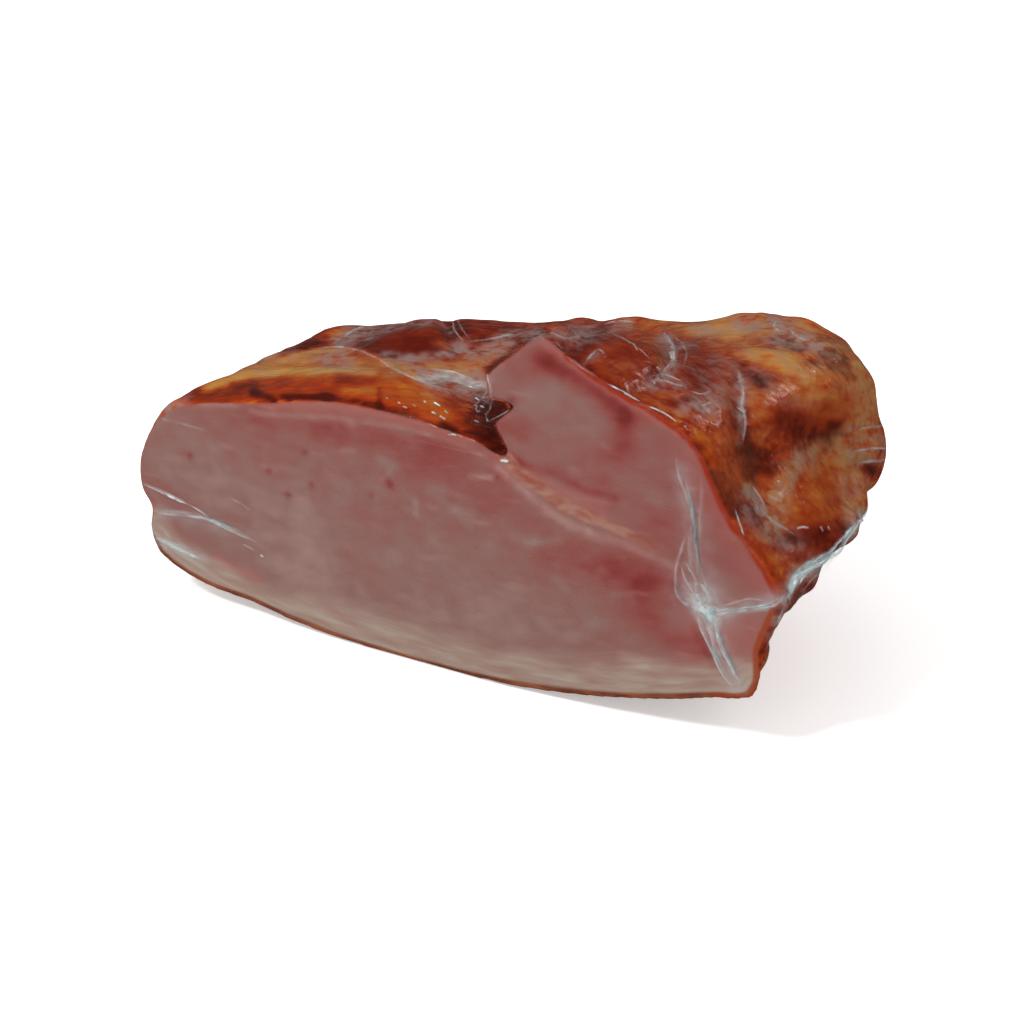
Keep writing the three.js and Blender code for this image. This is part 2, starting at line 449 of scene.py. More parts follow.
# %% How red the lean is
LEAN = [
    # path, width in mm, how much redder or paler
    ([(205, 416), (248, 414)], 6, 0.12),
    ([(275, 428), (315, 433)], 5.5, 0.1),
    ([(326, 433), (347, 441)], 4.5, 0.12),
    ([(370, 444), (400, 453), (440, 456)], 6, 0.12),
    ([(330, 426), (400, 436), (460, 450)], 4, 0.08),
    ([(430, 470), (470, 490), (505, 480)], 8, 0.1),
    ([(560, 560), (600, 565), (640, 570)], 9, 0.16),
    ([(640, 570), (652, 590)], 9, 0.22),
    ([(640, 595), (646, 612)], 7, 0.14),
    ([(670, 640), (690, 655)], 8, 0.12),
    ([(540, 590), (600, 600)], 12, 0.1),
    ([(677, 588), (690, 616), (702, 641), (712, 664)], 1.8, 0.42),
    ([(545, 362), (556, 369), (575, 378), (594, 391), (610, 404), (620, 414)], 4.4, 0.5),
    ([(510, 375), (528, 362), (545, 354)], 6, 0.06),
    ([(520, 380), (531, 374)], 2.4, 0.12),
    ([(501, 425), (520, 428)], 3.4, 0.18),
    ([(505, 360), (530, 352)], 7, 0.04),
    ([(625, 418), (624, 436), (617, 449)], 3.4, 0.14),
    ([(608, 455), (620, 452)], 4.4, 0.14),
    ([(512, 461), (532, 468), (549, 474), (572, 485), (592, 494), (614, 498)], 1.7, 0.3),
    ([(600, 505), (650, 520), (690, 535)], 7, 0.1),
    ([(690, 450), (720, 520), (760, 580)], 6, 0.1),
    ([(548, 425), (565, 440), (580, 452)], 9, -0.02),
    ([(640, 450), (665, 480), (690, 520)], 12, 0.1),
    ([(600, 420), (590, 405)], 6, -0.1),
    ([(512, 440), (528, 452)], 5, -0.1),
    ([(165, 460), (230, 500), (300, 530)], 18, -0.2),
    ([(180, 430), (260, 460), (330, 480)], 12, -0.06),
    ([(300, 575), (420, 605), (540, 625)], 15, -0.26),
    ([(377, 457), (392, 466)], 1.9, -0.34),
    ([(389, 474)], 1.4, -0.3),
    ([(430, 488), (442, 492)], 1.9, -0.26),
    ([(415, 502), (416, 516)], 1.3, -0.26),
    ([(455, 508), (470, 515)], 1.3, -0.24),
    ([(440, 500), (470, 528)], 1.2, -0.2),
    ([(528, 544), (556, 541)], 1.7, -0.26),
    ([(555, 580), (566, 590)], 1.5, -0.18),
    ([(612, 594), (632, 595)], 1.0, -0.24),
    ([(600, 625), (650, 632)], 8, -0.1),
]
print("strokes of redder or paler lean:", len(LEAN))

# %% Pinker and paler places, and specks
PINK = [
    ([(268, 403), (300, 405), (340, 408), (380, 414), (430, 425), (465, 438)], 2.4, 0.55),
    ([(690, 452), (715, 505), (745, 560), (770, 596)], 4, 0.35),
    ([(715, 630), (755, 640)], 10, 0.45),
    ([(545, 345), (590, 377), (640, 411), (676, 434)], 1.4, 0.6),
    ([(530, 478), (560, 492), (600, 508)], 2.2, 0.5),
    ([(225, 572), (255, 580)], 2.6, 0.5),
    ([(216, 560), (224, 566)], 2.0, 0.5),
    ([(300, 607), (350, 620)], 1.6, 0.4),
    ([(495, 455), (505, 475)], 2.5, 0.4),
]
PALE = [
    ([(250, 411), (268, 415), (324, 418), (358, 422), (413, 431), (460, 446), (485, 458)], 0.9, 0.4),
    ([(196, 404), (235, 405)], 1.0, 0.4),
    ([(498, 468), (515, 482), (532, 498), (545, 508), (557, 518), (572, 527), (587, 533)], 1.6, 0.6),
    ([(587, 533), (604, 538), (621, 543), (635, 550), (646, 555), (660, 562), (672, 567)], 1.6, 0.4),
    ([(471, 477), (493, 478)], 0.8, 0.6),
    ([(342, 451), (353, 451)], 1.0, 0.4),
    ([(262, 467), (274, 470)], 1.0, 0.3),
    ([(300, 598), (340, 606)], 2.4, 0.4),
    ([(744, 684), (757, 688)], 5.0, 0.8),
]
SPECKS = [
    # place, size in mm
    ((304, 452), 1.0),
    ((287, 495), 1.3),
    ((311, 486), 1.2),
    ((388, 484), 1.3),
    ((370, 496), 0.9),
    ((189, 456), 1.2),
    ((268, 471), 1.1),
    ((495, 478), 0.9),
    ((511, 402), 1.4),
]
print("specks:", len(SPECKS))

# %% Paint the cut
on_face = behind < 4
face = flat_start[on_face]


def paint(strokes, place, points, ragged=0.35):
    total = np.zeros(len(points))
    for i, (pixels, width, amount) in enumerate(strokes):
        path = [place(p) for p in smooth_line(pixels)]
        total += amount * stroke(points, path, width, ragged, seed=i + 1)
    return total


def keep_on(chosen, name, values):
    """Stores numbers for some of the ham's points, and 0 for the others."""
    everywhere = np.zeros(len(start))
    everywhere[chosen] = values
    keep(ham, name, everywhere)


MIDDLE_RED = 0.46
lean = MIDDLE_RED + paint(LEAN, on_cut, face, ragged=0.2)
lean += soft_noise(face, 26, 3, stretch=(1.7, 1, 1), seed=5) * 0.12
lean += soft_noise(face, 5, 2, stretch=(1.7, 1, 1), seed=21) * 0.08
fibres = step(0.3, 0.8, soft_noise(face, FINEST, 1, stretch=(4, 1, 1), seed=22))
specks = [stroke(face, [on_cut(at)], size, ragged=0.8, seed=i + 40) for i, (at, size) in enumerate(SPECKS)]
keep_on(on_face, "lean", lean)
keep_on(on_face, "pink", paint(PINK, on_cut, face))
keep_on(on_face, "pale", paint(PALE, on_cut, face) + fibres * 0.3)
keep_on(on_face, "speck", sum(specks))
print("points on the cut:", int(on_face.sum()))

# %% [markdown]
# ## Painting the smoked outside
#
# The skin's colours follow no simple rule, so they are painted: each stroke is a short path in the photo, a width and
# an amount. A stroke reaches only what the photo shows, and fades in patches where the skin turns out of sight. Some
# strokes paint highlights, shade and the bag's reflections into the colour.
# The hidden sides get the same colours from noise, so the ham looks the same kind from all sides.

# %% Darker and more golden places, and painted highlights and shade
SMOKE_LIGHT_AND_SHADE = [
    # path, width in mm, how much paler and more golden, or darker; some strokes paint highlights and shade
    # painted highlight: the lit golden line along the top of the rim band, over its golden smoke colour
    ([(205, 388), (235, 378), (262, 374), (300, 371), (340, 370), (372, 373)], 1.3, 0.42),
    ([(196, 397), (240, 387), (290, 384), (340, 383), (390, 388), (425, 396)], 2.6, -0.08),
    ([(190, 398), (222, 388), (250, 383)], 3.4, -0.12),
    ([(212, 387), (228, 384)], 1.4, 0.16),
    ([(345, 389), (377, 391)], 1.3, 0.14),
    ([(338, 377), (372, 379)], 1.6, -0.16),
    ([(404, 395), (436, 398)], 1.6, 0.08),
    ([(418, 404), (440, 406)], 2.0, 0.08),
    ([(254, 393), (264, 396), (273, 400)], 1.4, -0.46),
    ([(284, 397), (328, 397)], 1.1, -0.5),
    ([(326, 399), (352, 402), (380, 407)], 1.3, -0.4),
    ([(379, 389), (379, 408)], 0.7, -0.25),
    ([(385, 409), (425, 423), (455, 433)], 1.8, -0.26),
    ([(400, 404), (436, 412), (468, 424)], 5.0, -0.06),
    ([(442, 424), (452, 430)], 1.1, -0.3),
    ([(455, 404), (478, 430)], 3.4, -0.12),
    ([(258, 366), (300, 361), (345, 361), (385, 370)], 2.4, 0.1),
    ([(350, 359), (378, 364)], 2.2, 0.2),
    ([(282, 360), (305, 353), (330, 350), (358, 351), (378, 358), (396, 367), (420, 377)], 0.9, 0.4),
    ([(285, 352), (322, 342)], 2.6, -0.3),
    ([(322, 340), (345, 331)], 1.8, 0.2),
    ([(372, 344), (400, 339), (436, 334)], 6.5, -0.22),
    ([(370, 351), (405, 354), (438, 350)], 1.2, -0.2),
    ([(458, 334), (482, 334), (505, 329)], 4.0, -0.2),
    # a painted glint, small and golden
    ([(442, 342), (446, 346)], 1.4, 0.3),
    ([(398, 363), (440, 367), (480, 362), (505, 352)], 2.6, 0.08),
    ([(489, 371), (505, 357), (522, 345), (541, 333)], 1.6, -0.32),
    # painted shade in the cleft and its notch, over dark red muscle
    ([(482, 398), (487, 425), (498, 442), (508, 455)], 3.2, -0.3),
    ([(491, 410), (503, 405), (514, 403)], 3.0, -0.6),
    ([(488, 412), (492, 428)], 1.6, -0.2),
    ([(575, 360), (590, 338), (606, 328)], 1.6, -0.2),
    ([(590, 350), (640, 354)], 9.0, -0.1),
    ([(550, 347), (590, 371), (620, 391), (650, 409), (674, 424), (698, 448)], 1.8, -0.12),
    ([(698, 448), (722, 497), (743, 533), (763, 556), (780, 587)], 1.8, -0.12),
    ([(686, 350), (712, 358), (702, 375)], 6.0, -0.14),
    ([(712, 344), (730, 347)], 2.6, 0.26),
    ([(700, 438), (711, 460)], 2.6, 0.24),
    ([(790, 354), (812, 358)], 3.0, 0.18),
    ([(680, 325), (720, 329), (775, 334)], 4.0, 0.34),
    ([(688, 330), (738, 332)], 1.6, 0.2),
    ([(728, 346), (760, 343)], 1.3, -0.25),
    ([(735, 362), (752, 372), (762, 382)], 2.2, -0.24),
    ([(765, 346), (792, 350)], 1.2, -0.26),
    ([(728, 350), (746, 352)], 1.0, -0.3),
    ([(745, 337), (776, 340), (800, 351)], 1.2, -0.34),
    ([(800, 362), (830, 366), (852, 377)], 1.2, -0.3),
    ([(768, 373), (802, 379)], 1.2, -0.2),
    ([(752, 329), (790, 325)], 1.2, -0.2),
    ([(815, 336), (840, 346)], 1.3, -0.22),
    ([(700, 444), (728, 494), (752, 530)], 3.0, -0.08),
    ([(742, 418), (745, 432), (746, 448)], 2.6, -0.28),
    ([(752, 462), (776, 470)], 4.0, -0.24),
    ([(745, 392), (772, 382)], 4.5, -0.16),
    ([(776, 320), (780, 336), (802, 343)], 3.0, -0.24),
    ([(735, 324), (752, 326)], 2.4, -0.2),
    ([(824, 350), (838, 354)], 3.0, -0.2),
    ([(628, 327), (652, 334)], 3.0, 0.18),
    ([(660, 345), (668, 362)], 3.0, 0.14),
    ([(748, 496), (760, 516), (772, 540)], 4.0, -0.12),
    ([(730, 354), (770, 353), (794, 360)], 3.4, 0.22),
    ([(772, 368), (800, 375), (830, 372)], 3.0, 0.12),
    ([(760, 318), (800, 322), (832, 336)], 3.0, 0.04),
    ([(822, 352), (850, 366)], 1.4, -0.24),
    ([(836, 384), (852, 398)], 2.4, -0.12),
    ([(765, 398), (800, 396), (838, 402)], 7.0, 0.1),
    ([(786, 416), (802, 431), (822, 438), (836, 431)], 4.5, -0.3),
    ([(782, 446), (768, 464), (756, 484)], 4.5, -0.08),
    ([(706, 400), (722, 440), (736, 500)], 8.0, -0.12),
    ([(735, 400), (756, 388)], 4.0, -0.1),
    ([(655, 384), (672, 394)], 3.0, -0.14),
    ([(846, 468), (852, 476)], 3.0, 0.14),
    ([(596, 362), (606, 376)], 3.0, 0.12),
    ([(404, 388), (424, 393)], 2.0, 0.14),
    ([(781, 478), (788, 484)], 2.0, 0.3),
    ([(804, 495), (820, 480), (836, 496), (822, 515)], 7.0, -0.02),
    ([(857, 490), (858, 516)], 4.0, 0.24),
    ([(812, 470), (830, 462)], 2.0, 0.16),
    ([(795, 540), (818, 536), (842, 530)], 4.0, -0.26),
    ([(872, 470)], 2.2, -0.5),
    # painted shade on the underside below the main pleat
    ([(797, 600), (822, 574), (840, 556)], 3.4, -0.12),
    ([(746, 500), (752, 530), (768, 548)], 3.0, 0.02),
    ([(765, 545), (780, 570), (786, 582)], 1.6, 0.1),
]
print("strokes of smoke:", len(SMOKE_LIGHT_AND_SHADE))

# %% Bare muscle, and painted shade
RED_MUSCLE_AND_SHADE = [
    # path, width in mm, how much it is bare red-brown muscle; some strokes paint shade
    ([(368, 342), (400, 339), (442, 336)], 9.0, 1.5),
    ([(456, 334), (482, 334), (508, 328)], 5.0, 1.4),
    ([(285, 352), (318, 341)], 2.4, 0.8),
    # painted shade in the cleft and its notch, over its bare muscle
    ([(482, 402), (488, 425), (498, 442), (508, 455)], 3.4, 0.8),
    ([(491, 410), (503, 404), (515, 403)], 2.4, 0.6),
    ([(489, 371), (505, 357), (522, 345), (541, 333)], 1.8, 0.9),
    ([(588, 352), (640, 352)], 12.0, 1.2),
    ([(600, 378), (640, 392), (670, 410)], 4.0, 0.7),
    ([(686, 350), (712, 358), (702, 375)], 7.0, 1.1),
    ([(735, 362), (752, 372), (762, 382)], 2.6, 0.7),
    ([(765, 398), (800, 396), (838, 402)], 8.0, 0.15),
    ([(790, 418), (802, 431), (820, 438)], 6.0, 0.4),
    ([(795, 538), (820, 537), (842, 540)], 6.0, 0.6),
    ([(804, 495), (820, 480), (836, 496), (822, 515)], 7.0, 0.35),
    ([(855, 488), (857, 515)], 4.5, 0.4),
    ([(872, 470)], 3.0, 1.0),
    # painted shade on the underside below the main pleat
    ([(797, 602), (822, 574), (846, 548)], 6.0, 1.0),
    ([(780, 606), (766, 642), (752, 668)], 2.0, 0.6),
    ([(742, 420), (746, 446)], 2.4, 0.6),
    ([(720, 344), (728, 350)], 2.4, 0.5),
    ([(800, 364), (832, 368), (854, 380)], 2.0, 0.3),
    ([(742, 338), (778, 342)], 1.6, 0.3),
    ([(826, 350), (838, 354)], 2.6, 0.5),
    ([(338, 378), (372, 380)], 1.4, 0.3),
]
print("strokes of bare muscle:", len(RED_MUSCLE_AND_SHADE))

# %% Paler, drier skin
TAN = [
    # path, width in mm, how much of the pale, drier skin shows
    ([(258, 366), (300, 359), (345, 358), (388, 366)], 2.6, 0.9),
    ([(282, 360), (305, 353), (330, 350), (358, 351), (378, 358), (396, 367)], 0.9, 0.8),
    ([(225, 374), (250, 366)], 2.0, 0.5),
    ([(398, 363), (440, 367), (480, 362), (508, 350)], 3.0, 0.9),
    ([(455, 372), (480, 371)], 1.6, 0.6),
    ([(684, 326), (740, 328), (790, 330), (836, 348), (862, 372)], 5.0, 0.9),
    ([(730, 356), (770, 356), (800, 366), (830, 372)], 3.6, 0.7),
    ([(860, 380), (872, 405)], 4.0, 0.6),
    ([(765, 392), (800, 388), (838, 396)], 5.0, 0.3),
    ([(815, 452), (798, 462), (786, 480), (778, 500), (772, 530)], 3.0, 1.3),
    ([(845, 482), (847, 518)], 1.6, 1.2),
    ([(862, 420), (872, 446), (868, 458)], 5.0, 0.8),
    ([(836, 446), (850, 470)], 4.0, 1.0),
    ([(712, 400), (722, 425), (730, 455), (738, 480)], 6.0, 0.25),
    ([(745, 395), (758, 430)], 4.0, 0.3),
    ([(746, 488), (760, 509)], 1.8, 0.8),
]
print("strokes of dry skin:", len(TAN))

# %% Where the bag stands off and greys what is under it, with its painted reflections
VEIL_AND_REFLECTION = [
    # path, width in mm, how much the bag greys what is under it, with painted reflections and shade
    ([(323, 361), (348, 362)], 2.4, 0.8),
    ([(250, 360), (290, 347)], 1.8, 0.35),
    ([(385, 357), (420, 359), (450, 353)], 1.4, 1.0),
    ([(395, 369), (420, 372)], 1.2, 0.4),
    ([(366, 329), (400, 325), (430, 321)], 1.4, 0.9),
    ([(340, 344), (356, 334), (364, 330)], 2.6, 1.1),
    ([(366, 340), (392, 330)], 1.0, 0.4),
    ([(460, 351), (480, 354), (502, 347)], 2.6, 1.0),
    ([(505, 340), (532, 335)], 2.4, 0.9),
    ([(540, 333), (560, 338)], 2.2, 0.5),
    ([(566, 326), (582, 334)], 2.4, 0.8),
    ([(696, 328), (712, 334)], 2.4, 0.6),
    ([(738, 324), (756, 326)], 2.4, 0.8),
    ([(440, 320), (452, 336), (460, 348)], 1.0, 0.5),
    ([(420, 373), (445, 377), (480, 377)], 1.6, 1.0),
    ([(430, 382), (455, 387), (484, 393)], 2.6, 1.2),
    ([(598, 333), (625, 325)], 2.6, 0.6),
    ([(572, 345), (588, 332)], 2.4, 0.5),
    ([(587, 362), (599, 352)], 0.9, 0.6),
    ([(664, 337), (671, 355), (668, 370), (657, 379)], 2.4, 0.95),
    ([(650, 384), (680, 385)], 1.8, 0.8),
    ([(679, 345), (693, 347)], 1.5, 0.7),
    ([(690, 368), (707, 378)], 1.5, 0.55),
    ([(688, 402), (712, 396)], 3.4, 0.75),
    ([(700, 413), (718, 408)], 2.6, 0.55),
    ([(739, 377), (741, 396), (740, 415)], 1.7, 0.9),
    ([(740, 415), (739, 444)], 0.8, 0.3),
    ([(777, 322), (778, 338)], 3.2, 1.2),
    ([(791, 334), (806, 343)], 2.8, 1.1),
    ([(716, 362), (730, 372), (738, 390)], 3.0, 0.5),
    ([(756, 372), (772, 386)], 2.2, 0.5),
    ([(816, 347), (824, 352)], 2.2, 0.6),
    ([(802, 452), (813, 464)], 3.0, 0.25),
    ([(800, 458), (786, 488), (780, 520)], 2.6, 0.4),
    ([(786, 400), (812, 404)], 2.0, 0.3),
    ([(850, 428), (886, 424)], 0.9, 0.6),
    ([(852, 440), (886, 437)], 0.9, 0.6),
    ([(850, 452), (886, 449)], 1.0, 0.7),
    ([(852, 462), (884, 460)], 0.9, 0.55),
    ([(855, 488), (857, 515)], 4.0, 0.45),
    ([(748, 490), (760, 509)], 1.5, 0.7),
    ([(752, 512), (772, 530), (790, 546)], 4.0, 0.7),
    # painted shade below the main pleat, greyed as seen through the bag
    ([(838, 560), (822, 573), (808, 586), (800, 597)], 1.6, 0.45),
    ([(782, 612), (774, 628)], 3.0, 0.8),
    ([(146, 434), (155, 418), (166, 408), (180, 402)], 2.4, 1.2),
]
print("strokes of grey:", len(VEIL_AND_REFLECTION))

# %% Where the colour is even
CALM = [
    # path, width in mm, how even the colour is
    ([(200, 400), (250, 386), (300, 384), (350, 387), (400, 398), (450, 420)], 5.0, 1.0),
    ([(800, 480), (830, 500), (810, 520)], 9.0, 0.9),
    ([(775, 402), (840, 405)], 8.0, 0.8),
    ([(735, 420), (745, 480)], 8.0, 0.7),
    ([(460, 365), (500, 358)], 3.0, 0.5),
    ([(698, 446), (730, 502), (772, 562)], 4.0, 0.6),
    ([(690, 350), (712, 362), (700, 380)], 6.0, 0.6),
    ([(372, 343), (400, 339), (440, 335)], 6.0, 0.8),
    ([(180, 400), (240, 374), (290, 361), (340, 360), (390, 372)], 3.5, 0.8),
    ([(592, 350), (640, 352)], 9.0, 0.7),
]
print("strokes of calm:", len(CALM))

# %% Paint the outside
# Painted shade in the cleft between the muscles: near its inside the skin is darkened, reddened like bare muscle, and
# loses its dry and grey patches.
INSIDE_CLEFT = [(512, 404), (500, 407), (490, 414), (488, 428)]
on_skin = behind > 0.2
skin = start[on_skin]
skin_shown = shown_at(moved[on_skin])
seen_skin = shows(moved[on_skin], relieved_normals[on_skin])
hidden_skin = 1 - seen_skin
cleft_shade_and_muscle = stroke(skin, [on_cut(p) for p in INSIDE_CLEFT], 7.0, 0.15)


def painted(strokes, ragged=0.35):
    return paint(strokes, in_picture, skin_shown, ragged) * seen_skin


MIDDLE_SMOKE = 0.46
CALM_BEHIND = 0.45
calm = np.clip(paint(CALM, in_picture, skin_shown), 0, 1) * seen_skin + CALM_BEHIND * hidden_skin
long_streaks = soft_noise(skin_shown, FINEST, 1, stretch=(3, 1, 1), seed=12) * seen_skin * (1 - 0.8 * calm)
patches = soft_noise(skin_shown, 5, 2, stretch=(2, 1, 1), seed=13) * seen_skin
smoke_light_and_shade = MIDDLE_SMOKE + soft_noise(skin, 26, 3, seed=6) * (0.16 - 0.08 * seen_skin)
smoke_light_and_shade += soft_noise(skin, 9, 2, stretch=(2.2, 1, 1), seed=7) * (0.12 - 0.06 * seen_skin)
smoke_light_and_shade += long_streaks * 0.14 + patches * 0.09 + painted(SMOKE_LIGHT_AND_SHADE) - 0.46 * cleft_shade_and_muscle
bare = step(0.1, 0.6, soft_noise(skin, 30, 2, seed=9))
# the red also holds painted shade, under the main pleat and in the cleft
red = np.clip(bare * 0.7 * hidden_skin + painted(RED_MUSCLE_AND_SHADE) + 0.7 * cleft_shade_and_muscle, 0, 1)
dry = step(0.2, 0.7, soft_noise(skin, 20, 3, stretch=(2, 1, 1), seed=10))
tan = dry * (0.7 - 0.65 * seen_skin) + painted(TAN, ragged=0.5) * (1 + patches * 0.8)
tan *= (1 - 0.9 * red) * (1 - cleft_shade_and_muscle)
veil_and_reflection_patches = step(0.25, 0.75, soft_noise(skin, 15, 3, stretch=(1.8, 1, 1), seed=8))
veil_and_reflection = veil_and_reflection_patches * (0.45 - 0.4 * seen_skin) + 0.2 * hidden_skin + painted(VEIL_AND_REFLECTION, ragged=0.6) * (1 + long_streaks * 0.7)
veil_and_reflection *= 1 - cleft_shade_and_muscle
keep_on(on_skin, "calm", calm)
keep_on(on_skin, "smoke_light_and_shade", smoke_light_and_shade)
keep_on(on_skin, "red", red)
keep_on(on_skin, "tan", np.clip(tan, 0, 1))
keep_on(on_skin, "veil_and_reflection", np.clip(veil_and_reflection, 0, 1))
under = step(0.35, 0.85, -normals[:, 2]) * (1 - step(20, 38, start[:, 2] / MM))
keep(ham, "under", under)
print("smoke from and to:", round(smoke_light_and_shade.min(), 2), round(smoke_light_and_shade.max(), 2))

# %% [markdown]
# ## Materials
#
# A small helper adds nodes. Two effects are groups of their own, because both the meat and the bag use them: streaky
# mottling, and the fine creases that a pumped-out bag presses into everything under it.


# %% Helpers for nodes
LIT = 1.08  # how brightly the lamps and the sky light the ham


def seen_as(red, green, blue):
    """The material colour that shows as a screen colour, from 0 to 255, in this light."""
    values = [c / 255 for c in (red, green, blue)]
    return (*[(c / 12.92 if c < 0.04045 else ((c + 0.055) / 1.055) ** 2.4) / LIT for c in values], 1)


def add(tree, kind, inputs=None, **settings):
    node = tree.nodes.new("ShaderNode" + kind)
    for name, value in settings.items():
        setattr(node, name, value)
    for socket, value in (inputs or {}).items():
        if isinstance(value, bpy.types.NodeSocket):
            tree.links.new(value, node.inputs[socket])
        else:
            node.inputs[socket].default_value = value
    return node


def read(tree, name):
    return add(tree, "Attribute", attribute_name=name).outputs["Fac"]


def math_of(tree, what, a, b=0.0, clamp=False):
    return add(tree, "Math", {0: a, 1: b}, operation=what, use_clamp=clamp).outputs[0]


def plus(tree, a, b):
    return math_of(tree, "ADD", a, b)


def times(tree, a, b):
    return math_of(tree, "MULTIPLY", a, b)


def swing(tree, noise_value, amount):
    """Noise from 0 to 1 as a swing about zero, from end to end as large as the amount."""
    return times(tree, math_of(tree, "SUBTRACT", noise_value, 0.5), amount)


def between(tree, value, low, high, to_low=0.0, to_high=1.0):
    """Turns the range from low to high into another, smoothly."""
    inputs = {"Value": value, "From Min": low, "From Max": high, "To Min": to_low, "To Max": to_high}
    return add(tree, "MapRange", inputs, interpolation_type="SMOOTHSTEP").outputs["Result"]


MIX_SHARE, MIX_FIRST, MIX_SECOND, MIX_RESULT = 0, 6, 7, 2  # a Mix node's sockets for colours, by number
MIX_ONE, MIX_OTHER = 2, 3  # and for plain numbers


def blend(tree, share, first, second):
    """The first colour, covered by the second as far as the share says."""
    inputs = {MIX_SHARE: share, MIX_FIRST: first, MIX_SECOND: second}
    return add(tree, "Mix", inputs, data_type="RGBA", clamp_factor=True).outputs[MIX_RESULT]


def ramp(tree, value, *stops):
    node = tree.nodes.new("ShaderNodeValToRGB")
    tree.links.new(value, node.inputs["Fac"])
    elements = node.color_ramp.elements
    while len(elements) < len(stops):
        elements.new(0.5)
    for element, (place, colour) in zip(elements, stops):
        element.position = place
        element.color = colour
    return node.outputs["Color"]


print("a middle grey in this light:", [round(c, 2) for c in seen_as(128, 128, 128)])


# %% Two shared effects
def new_group(name, inputs, output):
    group = bpy.data.node_groups.new(name, "ShaderNodeTree")
    for socket, (kind, default) in inputs.items():
        made = group.interface.new_socket(socket, in_out="INPUT", socket_type="NodeSocket" + kind)
        if default is not None:
            made.default_value = default
    group.interface.new_socket(output, in_out="OUTPUT", socket_type="NodeSocketFloat")
    return group, group.nodes.new("NodeGroupInput"), group.nodes.new("NodeGroupOutput")


PATTERN_INPUTS = {"Place": ("Vector", None), "Stretch": ("Vector", (1, 1, 1)), "Size": ("Float", 0.01)}


def place_in_pattern(group, given):
    """The place, shrunk along each axis by the stretch and the size."""
    stretched = add(group, "VectorMath", {0: given.outputs["Place"], 1: given.outputs["Stretch"]}, operation="DIVIDE")
    per_size = math_of(group, "DIVIDE", 1.0, given.outputs["Size"])
    return add(group, "VectorMath", {0: stretched.outputs[0], "Scale": per_size}, operation="SCALE").outputs[0]


mottle, given, result = new_group("Mottle", {**PATTERN_INPUTS, "Detail": ("Float", 2.0)}, "Value")
cloud_inputs = {"Vector": place_in_pattern(mottle, given), "Scale": 1.0, "Detail": given.outputs["Detail"]}
cloud = add(mottle, "TexNoise", {**cloud_inputs, "Roughness": 0.6})
mottle.links.new(cloud.outputs["Fac"], result.inputs["Value"])

creases, given, result = new_group("Pressed creases", PATTERN_INPUTS, "Height")
wave_inputs = {"Vector": place_in_pattern(creases, given), "Scale": 1.0, "Detail": 3.0}
waves = add(creases, "TexNoise", {**wave_inputs, "Roughness": 0.5, "Distortion": 0.6})
off_middle = math_of(creases, "ABSOLUTE", math_of(creases, "SUBTRACT", waves.outputs["Fac"], 0.5))
CREASE_WIDTH = 0.09  # of the noise's range
height = between(creases, off_middle, 0.0, CREASE_WIDTH, 1.0, 0.0)
creases.links.new(height, result.inputs["Height"])
print("shared effects:", mottle.name, "and", creases.name)


def use(tree, group, place, stretch, size, **more):
    node = tree.nodes.new("ShaderNodeGroup")
    node.node_tree = group
    tree.links.new(place, node.inputs["Place"])
    node.inputs["Stretch"].default_value = stretch
    node.inputs["Size"].default_value = size * MM
    for name, value in more.items():
        node.inputs[name].default_value = value
    return node.outputs[0]


def new_material(name, **constants):
    material = bpy.data.materials.new(name)
    material.use_nodes = True
    tree = material.node_tree
    shader = tree.nodes["Principled BSDF"]
    for socket, value in constants.items():
        shader.inputs[socket.replace("_", " ")].default_value = value
    place = add(tree, "TexCoord").outputs["Object"]
    return material, tree, shader, place


# %% [markdown]
# ## The meat's colours
#
# One Principled shader does for the whole ham, because it is one piece of moist meat. Its colour is laid on in
# layers, as a painter would: the lean first, then the cap of fat, the rind, the seam of fat and the smoked rim, each
# covering the last as far as the numbers at the points say. Noise at the scale of the meat's grain breaks up every
# border, so that none looks drawn. The smoked outside has colours of its own, and takes over just behind the cut.

# %% Lean meat
meat, tree, shader, place = new_material(
    "Smoked ham", Coat_Weight=0.07, Coat_Roughness=0.09, Coat_IOR=1.45, Specular_IOR_Level=0.06
)
fine = use(tree, mottle, place, (1.4, 1, 1), 5, Detail=4.0)
coarse = use(tree, mottle, place, (1.8, 1, 1), 14)
fibre = use(tree, mottle, place, (1, 1, 0.35), 1.6)
redness = plus(tree, plus(tree, read(tree, "lean"), swing(tree, fine, 0.42)), swing(tree, coarse, 0.4))
lean_colour = ramp(
    tree,
    redness,
    (0.0, seen_as(141, 113, 105)),
    (0.26, seen_as(129, 95, 89)),
    (0.46, seen_as(129, 84, 78)),
    (0.66, seen_as(129, 70, 65)),
    (0.86, seen_as(123, 51, 47)),
    (1.0, seen_as(107, 36, 33)),
)
PINK_MEAT = seen_as(158, 90, 82)
PALE_MEAT = seen_as(158, 126, 118)
BLOOD_SPECK = seen_as(118, 42, 42)
pale_share = times(tree, read(tree, "pale"), between(tree, fine, 0.35, 0.6, 0.4, 1.0))
lean_colour = blend(tree, times(tree, read(tree, "pink"), 0.8), lean_colour, PINK_MEAT)
lean_colour = blend(tree, pale_share, lean_colour, PALE_MEAT)
lean_colour = blend(tree, times(tree, read(tree, "speck"), 0.75), lean_colour, BLOOD_SPECK)
print("nodes in the meat so far:", len(tree.nodes))

